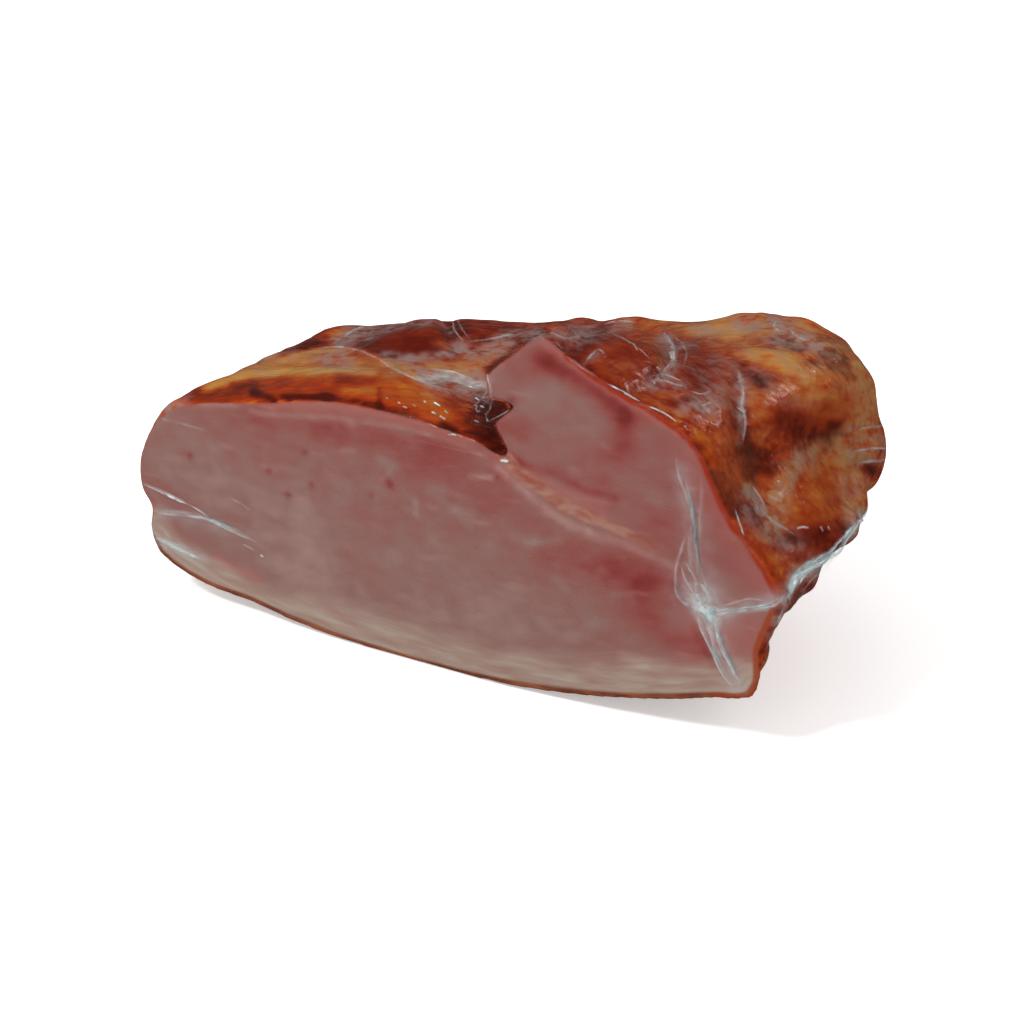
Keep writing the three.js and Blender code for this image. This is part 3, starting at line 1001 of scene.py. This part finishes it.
# %% The cap of fat and the rind under it
FAT_LEFT, FAT_MIDDLE = (-75 * MM, 7.5), (-5 * MM, 11.5)  # where across the cut, and how many mm thick
FAT_THINS = (62 * MM, 100 * MM, 0.0, 4.0)  # from and to where at the right end, and by how many mm
rind = read(tree, "rind")
across = add(tree, "SeparateXYZ", {0: place}).outputs["X"]
along_rind = add(tree, "CombineXYZ", {"X": across, "Y": times(tree, rind, MM)}).outputs[0]
streaks = use(tree, mottle, along_rind, (6, 1, 1), 3.2)
thick = between(tree, across, FAT_LEFT[0], FAT_MIDDLE[0], FAT_LEFT[1], FAT_MIDDLE[1])
thick = math_of(tree, "SUBTRACT", thick, between(tree, across, *FAT_THINS))
wavy = plus(tree, thick, swing(tree, coarse, 14.0))
fat_share = between(tree, math_of(tree, "SUBTRACT", wavy, rind), -6.0, 4.5)
fat_colour = ramp(
    tree,
    streaks,
    (0.3, seen_as(142, 112, 100)),
    (0.5, seen_as(150, 129, 117)),
    (0.7, seen_as(160, 147, 134)),
)
RIND_EDGE = (1.1, 2.3)  # mm in from the outside, where the rind turns into fat
rind_share = between(tree, rind, *RIND_EDGE, 0.9, 0.0)
rind_colour = ramp(tree, streaks, (0.4, seen_as(98, 38, 14)), (0.6, seen_as(138, 70, 34)))
cut_colour = blend(tree, times(tree, fat_share, 0.92), lean_colour, fat_colour)
cut_colour = blend(tree, rind_share, cut_colour, rind_colour)
print("nodes in the meat so far:", len(tree.nodes))

# %% The smoked edge that shows round the right of the cut
LOW_EDGE = seen_as(140, 58, 28)
RIM = seen_as(138, 38, 12)
rim_reach = plus(tree, read(tree, "right_rim"), times(tree, fine, 2.4))
cut_colour = blend(tree, between(tree, read(tree, "low_right"), 0.8, 2.0, 0.9, 0.0), cut_colour, LOW_EDGE)
cut_colour = blend(tree, between(tree, rim_reach, 1.5, 2.7, 0.95, 0.0), cut_colour, RIM)
print("nodes in the meat so far:", len(tree.nodes))

# %% The seam of fat between the two muscles
seam_along_it = read(tree, "seam_along")
seam_wide = between(tree, seam_along_it, 0.0, 1.0, 2.6, 2.0)  # mm to each side
seam_edge = plus(tree, seam_wide, swing(tree, fine, 3.0))
seam_in = math_of(tree, "SUBTRACT", seam_edge, math_of(tree, "ABSOLUTE", read(tree, "seam")))
seam_fade = between(tree, seam_along_it, 0.72, 1.0, 1.0, 0.0)
seam_share = times(tree, between(tree, seam_in, -0.5, 0.8), seam_fade)
seam_colour = ramp(
    tree,
    use(tree, mottle, place, (1.8, 1, 1), 3.4),
    (0.34, seen_as(138, 70, 54)),
    (0.48, seen_as(144, 92, 78)),
    (0.62, seen_as(152, 110, 96)),
)
cut_colour = blend(tree, times(tree, seam_share, 0.85), cut_colour, seam_colour)
print("nodes in the meat so far:", len(tree.nodes))

# %% [markdown]
# ## The smoked outside
#
# Smoke browns a ham from gold to nearly black, and where the skin is off, the bare muscle turns a deep red. So two
# ramps of colour read the same number, one for skin and one for muscle; that number also carries painted highlights
# and painted shade. The fine streaks run aslant over the ham, as the strings and the bag's creases left them, which is
# why their noise is stretched along a turned axis.

# %% Skin and bare muscle, with painted highlights and shade
STREAKS_RUN = math.radians(30)
UNEVEN, CALM_UNEVEN = 0.5, 0.18  # how far the streaks move the colour
unevenness = between(tree, read(tree, "calm"), 0.0, 1.0, UNEVEN, CALM_UNEVEN)
turned = add(tree, "VectorRotate", {"Vector": place, "Angle": -STREAKS_RUN}, rotation_type="Z_AXIS").outputs[0]
streaky = use(tree, mottle, place, (1.2, 1.1, 1), 3.6)
blotchy = use(tree, mottle, place, (1.5, 1, 1), 9)
fine_streaks = use(tree, mottle, turned, (2.6, 1, 1), 1.7, Detail=1.0)
smoke_light_and_shade_value = plus(tree, read(tree, "smoke_light_and_shade"), swing(tree, streaky, unevenness))
smoke_light_and_shade_value = plus(tree, smoke_light_and_shade_value, swing(tree, blotchy, 0.24))
smoke_light_and_shade_value = plus(tree, smoke_light_and_shade_value, swing(tree, fine_streaks, unevenness))
smoke_light_and_shade_colour = ramp(
    tree,
    smoke_light_and_shade_value,
    (0.0, seen_as(66, 14, 4)),
    (0.18, seen_as(96, 26, 8)),
    (0.38, seen_as(146, 46, 8)),
    (0.55, seen_as(164, 80, 20)),
    (0.74, seen_as(174, 116, 50)),
    (1.0, seen_as(172, 132, 80)),
)
muscle_colour = ramp(
    tree,
    smoke_light_and_shade_value,
    (0.0, seen_as(62, 10, 2)),
    (0.25, seen_as(92, 20, 6)),
    (0.5, seen_as(124, 42, 20)),
    (0.8, seen_as(150, 78, 48)),
)
# bare muscle red, which under the main pleat and in the cleft stands for painted shade
smoke_light_and_shade_colour = blend(tree, times(tree, read(tree, "red"), 0.85), smoke_light_and_shade_colour, muscle_colour)
print("nodes in the meat so far:", len(tree.nodes))

# %% Drier skin, the rind underneath, and the bag's greyness and painted reflections over them
DRY_SKIN = seen_as(152, 110, 72)
# the bag's grey haze over the skin, and its painted reflections
GREY_HAZE_AND_REFLECTION = seen_as(132, 110, 106)
tan_share = times(tree, read(tree, "tan"), between(tree, streaky, 0.34, 0.6, 0.35, 1.0))
veil_and_reflection_share = times(tree, read(tree, "veil_and_reflection"), between(tree, streaky, 0.34, 0.6, 0.2, 1.0))
rind_outside = ramp(
    tree,
    plus(tree, times(tree, blotchy, 0.6), times(tree, fine, 0.4)),
    (0.3, seen_as(104, 42, 20)),
    (0.5, seen_as(142, 76, 38)),
    (0.7, seen_as(166, 112, 66)),
)
smoke_light_and_shade_colour = blend(tree, times(tree, tan_share, 0.85), smoke_light_and_shade_colour, DRY_SKIN)
skin_colour = blend(tree, read(tree, "under"), smoke_light_and_shade_colour, rind_outside)
skin_colour = blend(tree, times(tree, veil_and_reflection_share, 0.85), skin_colour, GREY_HAZE_AND_REFLECTION)
TURN = (0.25, 1.1)  # mm behind the cut, where its colours give way to the skin's
turn = between(tree, read(tree, "behind"), *TURN)
tree.links.new(blend(tree, turn, cut_colour, skin_colour), shader.inputs["Base Color"])
print("nodes in the meat so far:", len(tree.nodes))

# %% [markdown]
# ## The meat's gloss and fine relief
#
# The cut is moist but matt under the film; the smoked skin is glossier, in patches. A Bump node is enough for the
# fibres of the cut and for the creases that the bag presses into the skin, since they are too low to change the
# outline.

# %% Gloss and bumps
rough_skin = between(tree, blotchy, 0.3, 0.7, 0.14, 0.28)
rough_cut = between(tree, fine, 0.3, 0.7, 0.34, 0.46)
rough = add(tree, "Mix", {MIX_SHARE: turn, MIX_ONE: rough_cut, MIX_OTHER: rough_skin})
tree.links.new(rough.outputs[0], shader.inputs["Roughness"])
pressed = use(tree, creases, place, (2.6, 1, 1), 9)
pressed_small = use(tree, creases, place, (1, 2.2, 1), 4)
skin_height = plus(tree, times(tree, pressed, 0.6), times(tree, pressed_small, 0.15))
skin_height = plus(tree, skin_height, times(tree, streaky, 0.35))
cut_height = times(tree, fibre, 0.16)
height = add(tree, "Mix", {MIX_SHARE: turn, MIX_ONE: cut_height, MIX_OTHER: skin_height})
bump = add(tree, "Bump", {"Strength": 0.55, "Distance": 0.6 * MM, "Height": height.outputs[0]})
tree.links.new(bump.outputs["Normal"], shader.inputs["Normal"])
ham.data.materials.append(meat)
print("nodes in the meat:", len(tree.nodes))

# %% [markdown]
# ## The clear bag
#
# The bag is a second skin. A copy of the solid is made even, relaxed so that it spans the hollows as taut plastic
# does, and then shrinkwrapped to stay just outside the meat. It is almost invisible, so a number at each point says
# where it turns hazy.

# %% The bag's skin
BAG_VOXEL = 1.7 * MM
BAG_GAP = 0.3 * MM
bag = copy_of_solid("clear_bag")
apply_modifier(bag, "REMESH", mode="VOXEL", voxel_size=BAG_VOXEL, use_smooth_shade=True)
ROUNDS = 3
for again in range(ROUNDS):
    apply_modifier(bag, "SMOOTH", factor=0.5, iterations=8)
    apply_modifier(
        bag,
        "SHRINKWRAP",
        target=ham,
        wrap_method="NEAREST_SURFACEPOINT",
        wrap_mode="OUTSIDE",
        offset=BAG_GAP,
    )
bag_points = get_points(bag)
bag_normals = get_normals(bag)
bag_out = step(1.0, 5.0, (bag_points[:, 1] - CUT_Y) / MM) * step(1, 8, bag_points[:, 2] / MM)
CRINKLE_HEIGHT = 0.5 * MM
FILM_LOWEST = 0.02 * MM
crinkle = 0.5 - np.abs(soft_noise(bag_points, 10, 2, stretch=(2.4, 1, 1), seed=11))
bag_points += bag_normals * (np.clip(crinkle, 0, 1) * bag_out * CRINKLE_HEIGHT)[:, None]
bag_points[:, 2] = np.maximum(bag_points[:, 2], FILM_LOWEST)
set_points(bag, bag_points)
print("points of the bag:", len(bag_points))

# %% Where the bag is hazy
PLEAT = [(864, 515), (854, 527), (846, 537), (836, 548), (825, 557), (814, 564), (804, 571), (795, 580), (789, 592)]
HAZE = [
    # path, width in mm, how hazy
    ([(684, 470), (690, 510), (692, 560), (698, 595)], 3.0, 0.09),
    ([(704, 520), (708, 560), (710, 590)], 3.0, 0.05),
    ([(700, 604), (716, 616)], 4.0, 0.4),
    ([(686, 592), (702, 600), (712, 590)], 4.5, 0.14),
    ([(714, 632), (724, 655), (738, 682)], 3.0, 0.16),
    ([(778, 598), (750, 605), (730, 610)], 2.2, 0.2),
    ([(156, 512), (200, 520), (225, 528)], 1.8, 0.12),
    ([(158, 538), (180, 548), (204, 558)], 2.0, 0.25),
    ([(426, 380), (450, 382), (482, 388)], 2.6, 0.5),
    ([(680, 470), (686, 500)], 2.0, 0.06),
    (PLEAT, 1.4, 0.6),
    ([(812, 565), (800, 573), (791, 584), (787, 598)], 2.0, 0.3),
]
haze = paint(HAZE, on_ham, bag_points, ragged=0.4)
keep(bag, "white", haze)
bag_tree = tree_of(bag)
print("the bag is haziest at:", round(haze.max(), 2))

# %% [markdown]
# ## The bag's folds
#
# Where there is too much plastic it stands up in folds: one long pleat along the widest line of the flank, which
# runs on over the cut and splits, and many small ones. Each is a thin closed ridge swept along a line that is laid
# on the bag. A curve with a bevel would make it quickly, but its even section would float over every dent. So each
# section is laid on the bag point by point, leans over, and wavers in width and height, because no fold is even.


# %% One fold
ACROSS = np.array([-1, -0.72, -0.45, -0.22, 0, 0.22, 0.45, 0.72, 1, 0.5, 0, -0.5])
TOP_POINTS = 9  # the first ones, over the top; the others close the section below
SUNK = 0.12 * MM
POINTS_APART = 0.7 * MM
fold_points, fold_faces = [], []
fold_white_and_glint, fold_along, fold_across = [], [], []


def on_bag(point):
    place, normal, _, _ = bag_tree.find_nearest(point)
    return place, normal


def add_fold(line, width, height, white, lean=0.35, seed=0.0):
    """Adds a ridge along a line of points, with its half width and its height in mm."""
    length = sum((b - a).length for a, b in zip(line, line[1:]))
    count = max(8, int(length / POINTS_APART))
    lengths = np.concatenate([[0], np.cumsum([(b - a).length for a, b in zip(line, line[1:])])])
    steps = np.linspace(0, length, count)
    track = np.array([[np.interp(s, lengths, [p[k] for p in line]) for k in range(3)] for s in steps])
    rings = []
    for i, at in enumerate(track):
        share = i / (count - 1)
        taper = min(1, math.sin(math.pi * share) * 1.8 + 0.02) ** 0.7  # to a point at both ends
        way = Vector(track[min(i + 1, count - 1)] - track[max(i - 1, 0)]).normalized()
        spot = Vector(at / (9 * MM)) + Vector((0, 0, seed * 3.7))
        waver = noise.noise(spot)
        quick = noise.noise(spot * 2.7)
        centre, out = on_bag(Vector(at))
        side = way.cross(out).normalized()
        centre = centre + side * (waver * 0.5 * width * MM)
        wide = width * MM * taper * (1 + 0.3 * waver + 0.2 * quick)
        high = height * MM * taper * (1 + 0.4 * waver + 0.2 * quick)
        clear = 0.75 + 0.5 * noise.noise(spot * 1.7 + Vector((5, 0, 0)))
        ring = []
        for k, u in enumerate(ACROSS):
            foot, foot_out = on_bag(centre + side * (u * wide))
            if k < TOP_POINTS:
                rise = (1 - abs(u)) ** 1.4
                ring.append(foot + out * (high * rise) + side * (lean * high * rise))
                fold_white_and_glint.append(white * taper * clear * (0.08 + 0.92 * rise))
            else:
                ring.append(foot - foot_out * SUNK)
                fold_white_and_glint.append(0)
            fold_along.append(share * length / MM + seed * 37)
            fold_across.append(u * width)
        rings.append(ring)
    base = len(fold_points)
    around = len(ACROSS)
    for ring in rings:
        fold_points.extend(p[:] for p in ring)
    for i in range(count - 1):
        for k in range(around):
            a, b = base + i * around + k, base + i * around + (k + 1) % around
            fold_faces.append((a, b, b + around, a + around))
    fold_faces.append(tuple(base + k for k in reversed(range(around))))
    fold_faces.append(tuple(base + (count - 1) * around + k for k in range(around)))


print("points round a fold:", len(ACROSS))

# %% The folds that the photo shows, the shortest of them painted glints
FOLDS = [
    # path, half width in mm, height in mm, how white; on the short, whitest ones the white is a painted glint
    ([(867, 510), (862, 519), (854, 527), (846, 537), (836, 548), (824, 557), (812, 565)], 1.2, 0.9, 0.9),
    ([(846, 537), (836, 549), (825, 557), (814, 564), (804, 571), (796, 580), (790, 588), (787, 600)], 1.9, 0.9, 0.9),
    ([(858, 520), (846, 533), (834, 545), (822, 554), (810, 561), (800, 567), (790, 576)], 0.7, 0.8, 0.8),
    # painted highlights on the lower part of the main pleat
    ([(822, 562), (810, 567), (799, 573), (791, 581), (786, 592)], 0.8, 1.2, 1.2),
    ([(812, 562), (806, 569), (800, 578), (797, 586)], 0.5, 0.8, 1.0),
    ([(838, 556), (822, 569), (808, 582), (800, 594)], 0.7, 0.3, 0.25),
    ([(785, 592), (778, 603), (764, 608), (748, 610), (732, 612), (716, 616)], 1.0, 0.8, 0.5),
    ([(780, 598), (764, 605), (748, 607), (728, 609), (712, 610)], 0.8, 0.7, 0.4),
    ([(688, 492), (696, 530), (700, 562), (708, 590)], 0.6, 0.4, 0.3),
    ([(682, 566), (690, 586), (702, 602)], 0.7, 0.5, 0.4),
    ([(716, 624), (726, 650), (738, 676)], 0.7, 0.6, 0.4),
    ([(770, 601), (750, 598), (735, 602), (722, 606)], 0.5, 0.5, 0.3),
    ([(698, 606), (707, 612), (716, 618)], 3.2, 1.0, 0.7),
    ([(707, 606), (712, 622)], 2.4, 1.0, 0.6),
    ([(698, 612), (703, 626), (708, 640), (714, 652), (722, 668), (734, 688)], 0.9, 0.9, 0.6),
    ([(716, 618), (720, 632), (724, 648), (732, 664), (742, 684)], 0.8, 0.9, 0.5),
    ([(707, 622), (712, 634), (716, 650), (724, 664)], 1.5, 0.6, 0.4),
    ([(704, 612), (694, 606), (682, 600), (677, 588), (677, 570), (681, 550), (686, 535)], 0.8, 0.6, 0.3),
    ([(704, 606), (698, 592), (696, 578), (690, 568), (686, 562)], 0.7, 0.6, 0.45),
    ([(710, 604), (708, 592), (700, 582)], 0.8, 0.6, 0.4),
    ([(676, 456), (679, 472), (687, 494), (694, 512), (696, 534), (694, 552)], 0.7, 0.4, 0.24),
    ([(686, 478), (692, 500), (696, 520)], 0.5, 0.4, 0.25),
    ([(694, 520), (690, 545), (692, 570)], 1.0, 0.4, 0.16),
    ([(702, 474), (703, 500), (700, 530), (698, 560), (704, 590)], 1.0, 0.4, 0.14),
    ([(143, 483), (155, 488), (168, 493), (180, 499), (191, 504)], 0.7, 0.7, 0.85),
    ([(188, 503), (202, 511), (213, 518), (236, 529)], 0.6, 0.5, 0.4),
    ([(153, 510), (165, 511), (180, 513), (202, 517), (224, 526), (240, 533), (258, 541)], 1.5, 0.9, 0.42),
    ([(231, 497), (241, 503), (252, 510)], 0.4, 0.3, 0.32),
    ([(243, 543), (256, 550)], 0.4, 0.3, 0.32),
    # a painted glint at the end of the lower left fold
    ([(261, 554), (265, 556)], 0.5, 0.4, 0.95),
    ([(156, 537), (166, 541), (178, 547), (190, 553), (203, 558)], 1.6, 0.7, 0.5),
    ([(160, 417), (182, 423), (208, 431)], 0.7, 0.25, 0.14),
    ([(308, 351), (326, 349), (343, 349), (363, 353), (380, 363), (400, 374), (429, 386), (466, 395)], 0.7, 0.7, 0.34),
    ([(424, 383), (452, 388), (484, 394)], 0.8, 0.7, 0.5),
    ([(428, 371), (450, 377), (478, 385)], 1.4, 0.8, 0.4),
    # a painted glint on the film over the hollow
    ([(442, 375), (456, 377)], 1.0, 0.7, 0.95),
    ([(447, 318), (455, 332), (465, 349)], 0.5, 0.6, 0.45),
    ([(455, 318), (462, 330), (472, 343)], 0.4, 0.5, 0.35),
    ([(343, 340), (352, 333), (366, 328)], 1.0, 0.6, 0.4),
    ([(335, 345), (344, 338)], 0.7, 0.5, 0.35),
    ([(468, 344), (490, 341), (516, 336)], 0.7, 0.6, 0.35),
    # painted glints on the golden rim band, down to the one at the foot of the cleft
    ([(433, 404), (440, 408)], 0.8, 0.6, 1.3),
    ([(424, 403), (427, 405)], 0.4, 0.4, 0.8),
    ([(398, 403), (401, 405)], 0.35, 0.4, 0.8),
    ([(386, 399), (389, 400)], 0.35, 0.4, 0.6),
    ([(444, 411), (448, 415)], 0.45, 0.4, 0.8),
    ([(431, 413), (437, 416)], 0.7, 0.5, 1.2),
    ([(439, 417), (446, 421)], 0.7, 0.5, 1.2),
    ([(403, 407), (408, 409)], 0.5, 0.4, 0.9),
    ([(448, 434), (458, 436)], 0.5, 0.5, 0.85),
    ([(474, 400), (479, 404)], 0.55, 0.5, 1.0),
    ([(479, 408), (484, 410)], 0.5, 0.5, 0.9),
    ([(475, 413), (480, 415)], 0.5, 0.5, 0.8),
    ([(474, 422), (479, 424)], 0.5, 0.5, 0.7),
    ([(412, 406), (416, 408)], 0.45, 0.4, 0.6),
    ([(500, 460), (510, 461)], 0.7, 0.5, 0.95),
    ([(488, 372), (492, 392), (493, 410)], 0.5, 0.4, 0.35),
    ([(548, 333), (566, 341), (580, 340)], 0.6, 0.5, 0.3),
    ([(584, 364), (592, 355), (599, 351), (608, 358)], 0.5, 0.5, 0.45),
    ([(611, 335), (626, 342), (640, 351), (651, 362)], 0.4, 0.4, 0.25),
    ([(632, 344), (637, 352)], 0.5, 0.4, 0.6),
    ([(602, 328), (618, 323), (636, 325)], 0.7, 0.6, 0.4),
    ([(664, 336), (672, 352), (669, 368), (657, 381)], 1.2, 0.9, 0.6),
    # painted glints on the round muscle's side
    ([(667, 358), (669, 364)], 0.7, 0.6, 0.9),
    ([(655, 369), (659, 374)], 0.6, 0.6, 0.9),
    ([(670, 336), (686, 352), (680, 372)], 0.5, 0.5, 0.3),
    # painted glints, in short lines below the round muscle
    ([(648, 380), (664, 379), (682, 382)], 0.5, 0.5, 0.5),
    ([(652, 386), (666, 385), (684, 388)], 0.5, 0.4, 0.45),
    # painted highlights along the rounded rim of the second muscle
    ([(606, 383), (618, 389), (630, 396), (641, 403)], 0.42, 0.4, 1.1),
    ([(648, 406), (660, 412), (670, 418), (678, 424)], 0.42, 0.4, 1.1),
    ([(566, 357), (580, 366), (600, 378)], 0.4, 0.4, 0.3),
    ([(738, 372), (743, 390), (740, 408), (741, 425), (739, 446)], 1.0, 0.8, 0.4),
    ([(734, 410), (740, 416), (746, 412)], 0.6, 0.5, 0.5),
    ([(688, 392), (700, 396), (712, 392)], 0.7, 0.5, 0.35),
    ([(700, 408), (712, 404), (720, 410)], 0.6, 0.5, 0.35),
    ([(733, 508), (738, 522), (744, 537)], 0.5, 0.5, 0.6),
    ([(748, 487), (756, 498), (763, 510)], 0.7, 0.5, 0.4),
    ([(764, 515), (776, 526), (792, 538)], 0.8, 0.5, 0.3),
    ([(777, 322), (775, 330), (779, 337)], 0.9, 0.7, 0.45),
    ([(790, 333), (797, 341), (807, 344)], 0.9, 0.7, 0.45),
    ([(853, 430), (870, 427), (885, 426)], 0.6, 0.5, 0.35),
    ([(853, 452), (870, 449), (886, 448)], 0.6, 0.5, 0.4),
    ([(855, 463), (868, 461), (885, 459)], 0.6, 0.5, 0.35),
    # painted glints on the lower flank
    ([(794, 530), (800, 528), (808, 529)], 0.5, 0.45, 0.7),
    ([(819, 526), (822, 532)], 0.5, 0.45, 0.8),
    ([(826, 526), (828, 530)], 0.45, 0.4, 0.6),
    ([(783, 606), (779, 618), (772, 634), (764, 650)], 1.0, 0.6, 0.35),
]
for i, (pixels, width, height, white) in enumerate(FOLDS):
    add_fold([on_ham(p) for p in smooth_line(pixels)], width, height, white, seed=i + 1)
print("folds that the photo shows:", len(FOLDS), "with faces:", len(fold_faces))

# %% The folds on the sides that the photo doesn't show
LONG_PLEAT = [(106, 49), (118, 52), (138, 53), (158, 52), (176, 50)]  # degrees round, mm high
pleat_start = on_ham(FOLDS[0][0][0])
add_fold(smooth_line([pleat_start, *[from_side(*p) for p in LONG_PLEAT]]), 1.6, 1.8, 0.7, seed=70)
print("the long pleat starts at, in mm:", [round(v / MM) for v in pleat_start])
rng = np.random.default_rng(7)
SMALL_FOLDS = 34
for i in range(SMALL_FOLDS):
    side = rng.uniform(112, 262)
    height = rng.uniform(12, 74)
    slant = rng.uniform(-0.9, 0.9)
    reach = rng.uniform(5, 14)
    bend = rng.uniform(-4, 4)
    corners = [(side - reach, height - slant * reach), (side, height + bend), (side + reach, height + slant * reach)]
    corners = [(a, min(max(h, 6), 80)) for a, h in corners]
    line = [from_side(*p) for p in smooth_line(corners)]
    if None not in line:
        add_fold(line, rng.uniform(0.5, 1.3), rng.uniform(0.3, 0.7), rng.uniform(0.25, 0.5), seed=80 + i)

# %% One mesh of all the folds
mesh = bpy.data.meshes.new("bag_folds")
mesh.from_pydata(fold_points, [], fold_faces)
folds = bpy.data.objects.new("bag_folds", mesh)
bpy.context.scene.collection.objects.link(folds)
lifted = get_points(folds)
lifted[:, 2] = np.maximum(lifted[:, 2], FILM_LOWEST)
set_points(folds, lifted)
keep(folds, "white", fold_white_and_glint)
keep(folds, "along", fold_along)
keep(folds, "across", fold_across)
only(folds)
bpy.ops.object.mode_set(mode="EDIT")
bpy.ops.mesh.select_all(action="SELECT")
bpy.ops.mesh.normals_make_consistent(inside=False)
bpy.ops.object.mode_set(mode="OBJECT")
bpy.ops.object.shade_smooth()
print("folds:", len(FOLDS) + SMALL_FOLDS + 1, "faces:", len(fold_faces))

# %% [markdown]
# ## The film
#
# Real film could be glass with a thin wall, but where it clings there is no air behind it and it can't be seen. So
# the film is a pale gloss that is clear nearly everywhere, and its Alpha rises only with the whiteness stored on the
# bag and its folds. That whiteness is crumpled film, and on the shortest, whitest folds it is a painted glint. Streaks
# along each fold break that whiteness up, as crumpled film does.

# %% Clear film
film, tree, shader, place = new_material("Clear film", Roughness=0.16, IOR=1.5, Base_Color=(0.66, 0.78, 0.78, 1))
on_fold = {"X": times(tree, read(tree, "along"), MM), "Y": times(tree, read(tree, "across"), MM)}
streak = use(tree, mottle, add(tree, "CombineXYZ", on_fold).outputs[0], (5, 0.5, 1), 1.4)
cloudy = use(tree, mottle, place, (1, 1, 1), 3)
uneven = plus(tree, between(tree, streak, 0.36, 0.62, 0.1, 0.8), between(tree, cloudy, 0.3, 0.65, 0.0, 0.5))
CLEAREST = 0.003
# the film's whiteness, from crumpled plastic, and on the shortest, whitest folds a painted glint
white = times(tree, read(tree, "white"), uneven)
tree.links.new(math_of(tree, "ADD", white, CLEAREST, clamp=True), shader.inputs["Alpha"])
for piece in (bag, folds):
    piece.data.materials.append(film)
print("nodes in the film:", len(tree.nodes))

# %% [markdown]
# ## The floor, the lights and the sky
#
# The photo has a plain white ground and soft light with a few hard gleams, so a wide white floor, a bright even sky
# and two large lamps are enough.

# %% Stage
SKY = 0.72
SKY_IN_GLEAMS = 0.06  # so that dark meat stays dark where it gleams
scene = bpy.context.scene
scene.view_settings.view_transform = "Standard"
world = bpy.data.worlds.new("Soft white room")
scene.world = world
world.use_nodes = True
sky = world.node_tree
in_gleams = add(sky, "LightPath").outputs["Is Glossy Ray"]
sky_strength = between(sky, in_gleams, 0.0, 1.0, SKY, SKY_IN_GLEAMS)
sky.nodes["Background"].inputs["Color"].default_value = (1, 1, 1, 1)
sky.links.new(sky_strength, sky.nodes["Background"].inputs["Strength"])
bpy.ops.mesh.primitive_plane_add(size=8)
ground = bpy.context.object
ground.name = "floor"
ground.visible_glossy = False
PAPER = (0.9, 0.9, 0.9, 1)
PAPER_GLOW = 0.4  # seen straight on only, so that the ground is white and the ham isn't lit by it
paper, tree, shader, place = new_material("White paper", Roughness=0.9, Base_Color=PAPER, Emission_Color=(1, 1, 1, 1))
straight = add(tree, "LightPath").outputs["Is Camera Ray"]
tree.links.new(times(tree, straight, PAPER_GLOW), shader.inputs["Emission Strength"])
ground.data.materials.append(paper)
print("strength of the sky:", SKY, "and in gleams:", SKY_IN_GLEAMS)


# %% Lamps
def lamp(name, side, height, distance, size, power):
    """A square lamp, placed in degrees round and up and in metres away, with its side in metres and its watts."""
    a, e = math.radians(side), math.radians(height)
    way = Vector((math.sin(a) * math.cos(e), -math.cos(a) * math.cos(e), math.sin(e)))
    bpy.ops.object.light_add(
        type="AREA", location=AIM + way * distance, rotation=way.to_track_quat("Z", "Y").to_euler()
    )
    light = bpy.context.object
    light.name = name
    light.data.size = size
    light.data.energy = power
    return light


lamp("large lamp", -20, 48, 1.3, 0.18, 11)
lamp("lamp behind on the right", 150, 42, 1.2, 0.16, 1.8)

# %% [markdown]
# ## Into the frame
#
# Nothing on a ham moves, so all three pieces ride on the frame's one body. Together they stand for the part's solid,
# which stays hidden.

# %% Put the pieces in the frame
for piece, slot in ((ham, "ham"), (bag, "film"), (folds, "film")):
    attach(piece, "root")
    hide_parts("packed_ham")
    print(piece.name, "has faces:", len(piece.data.polygons))
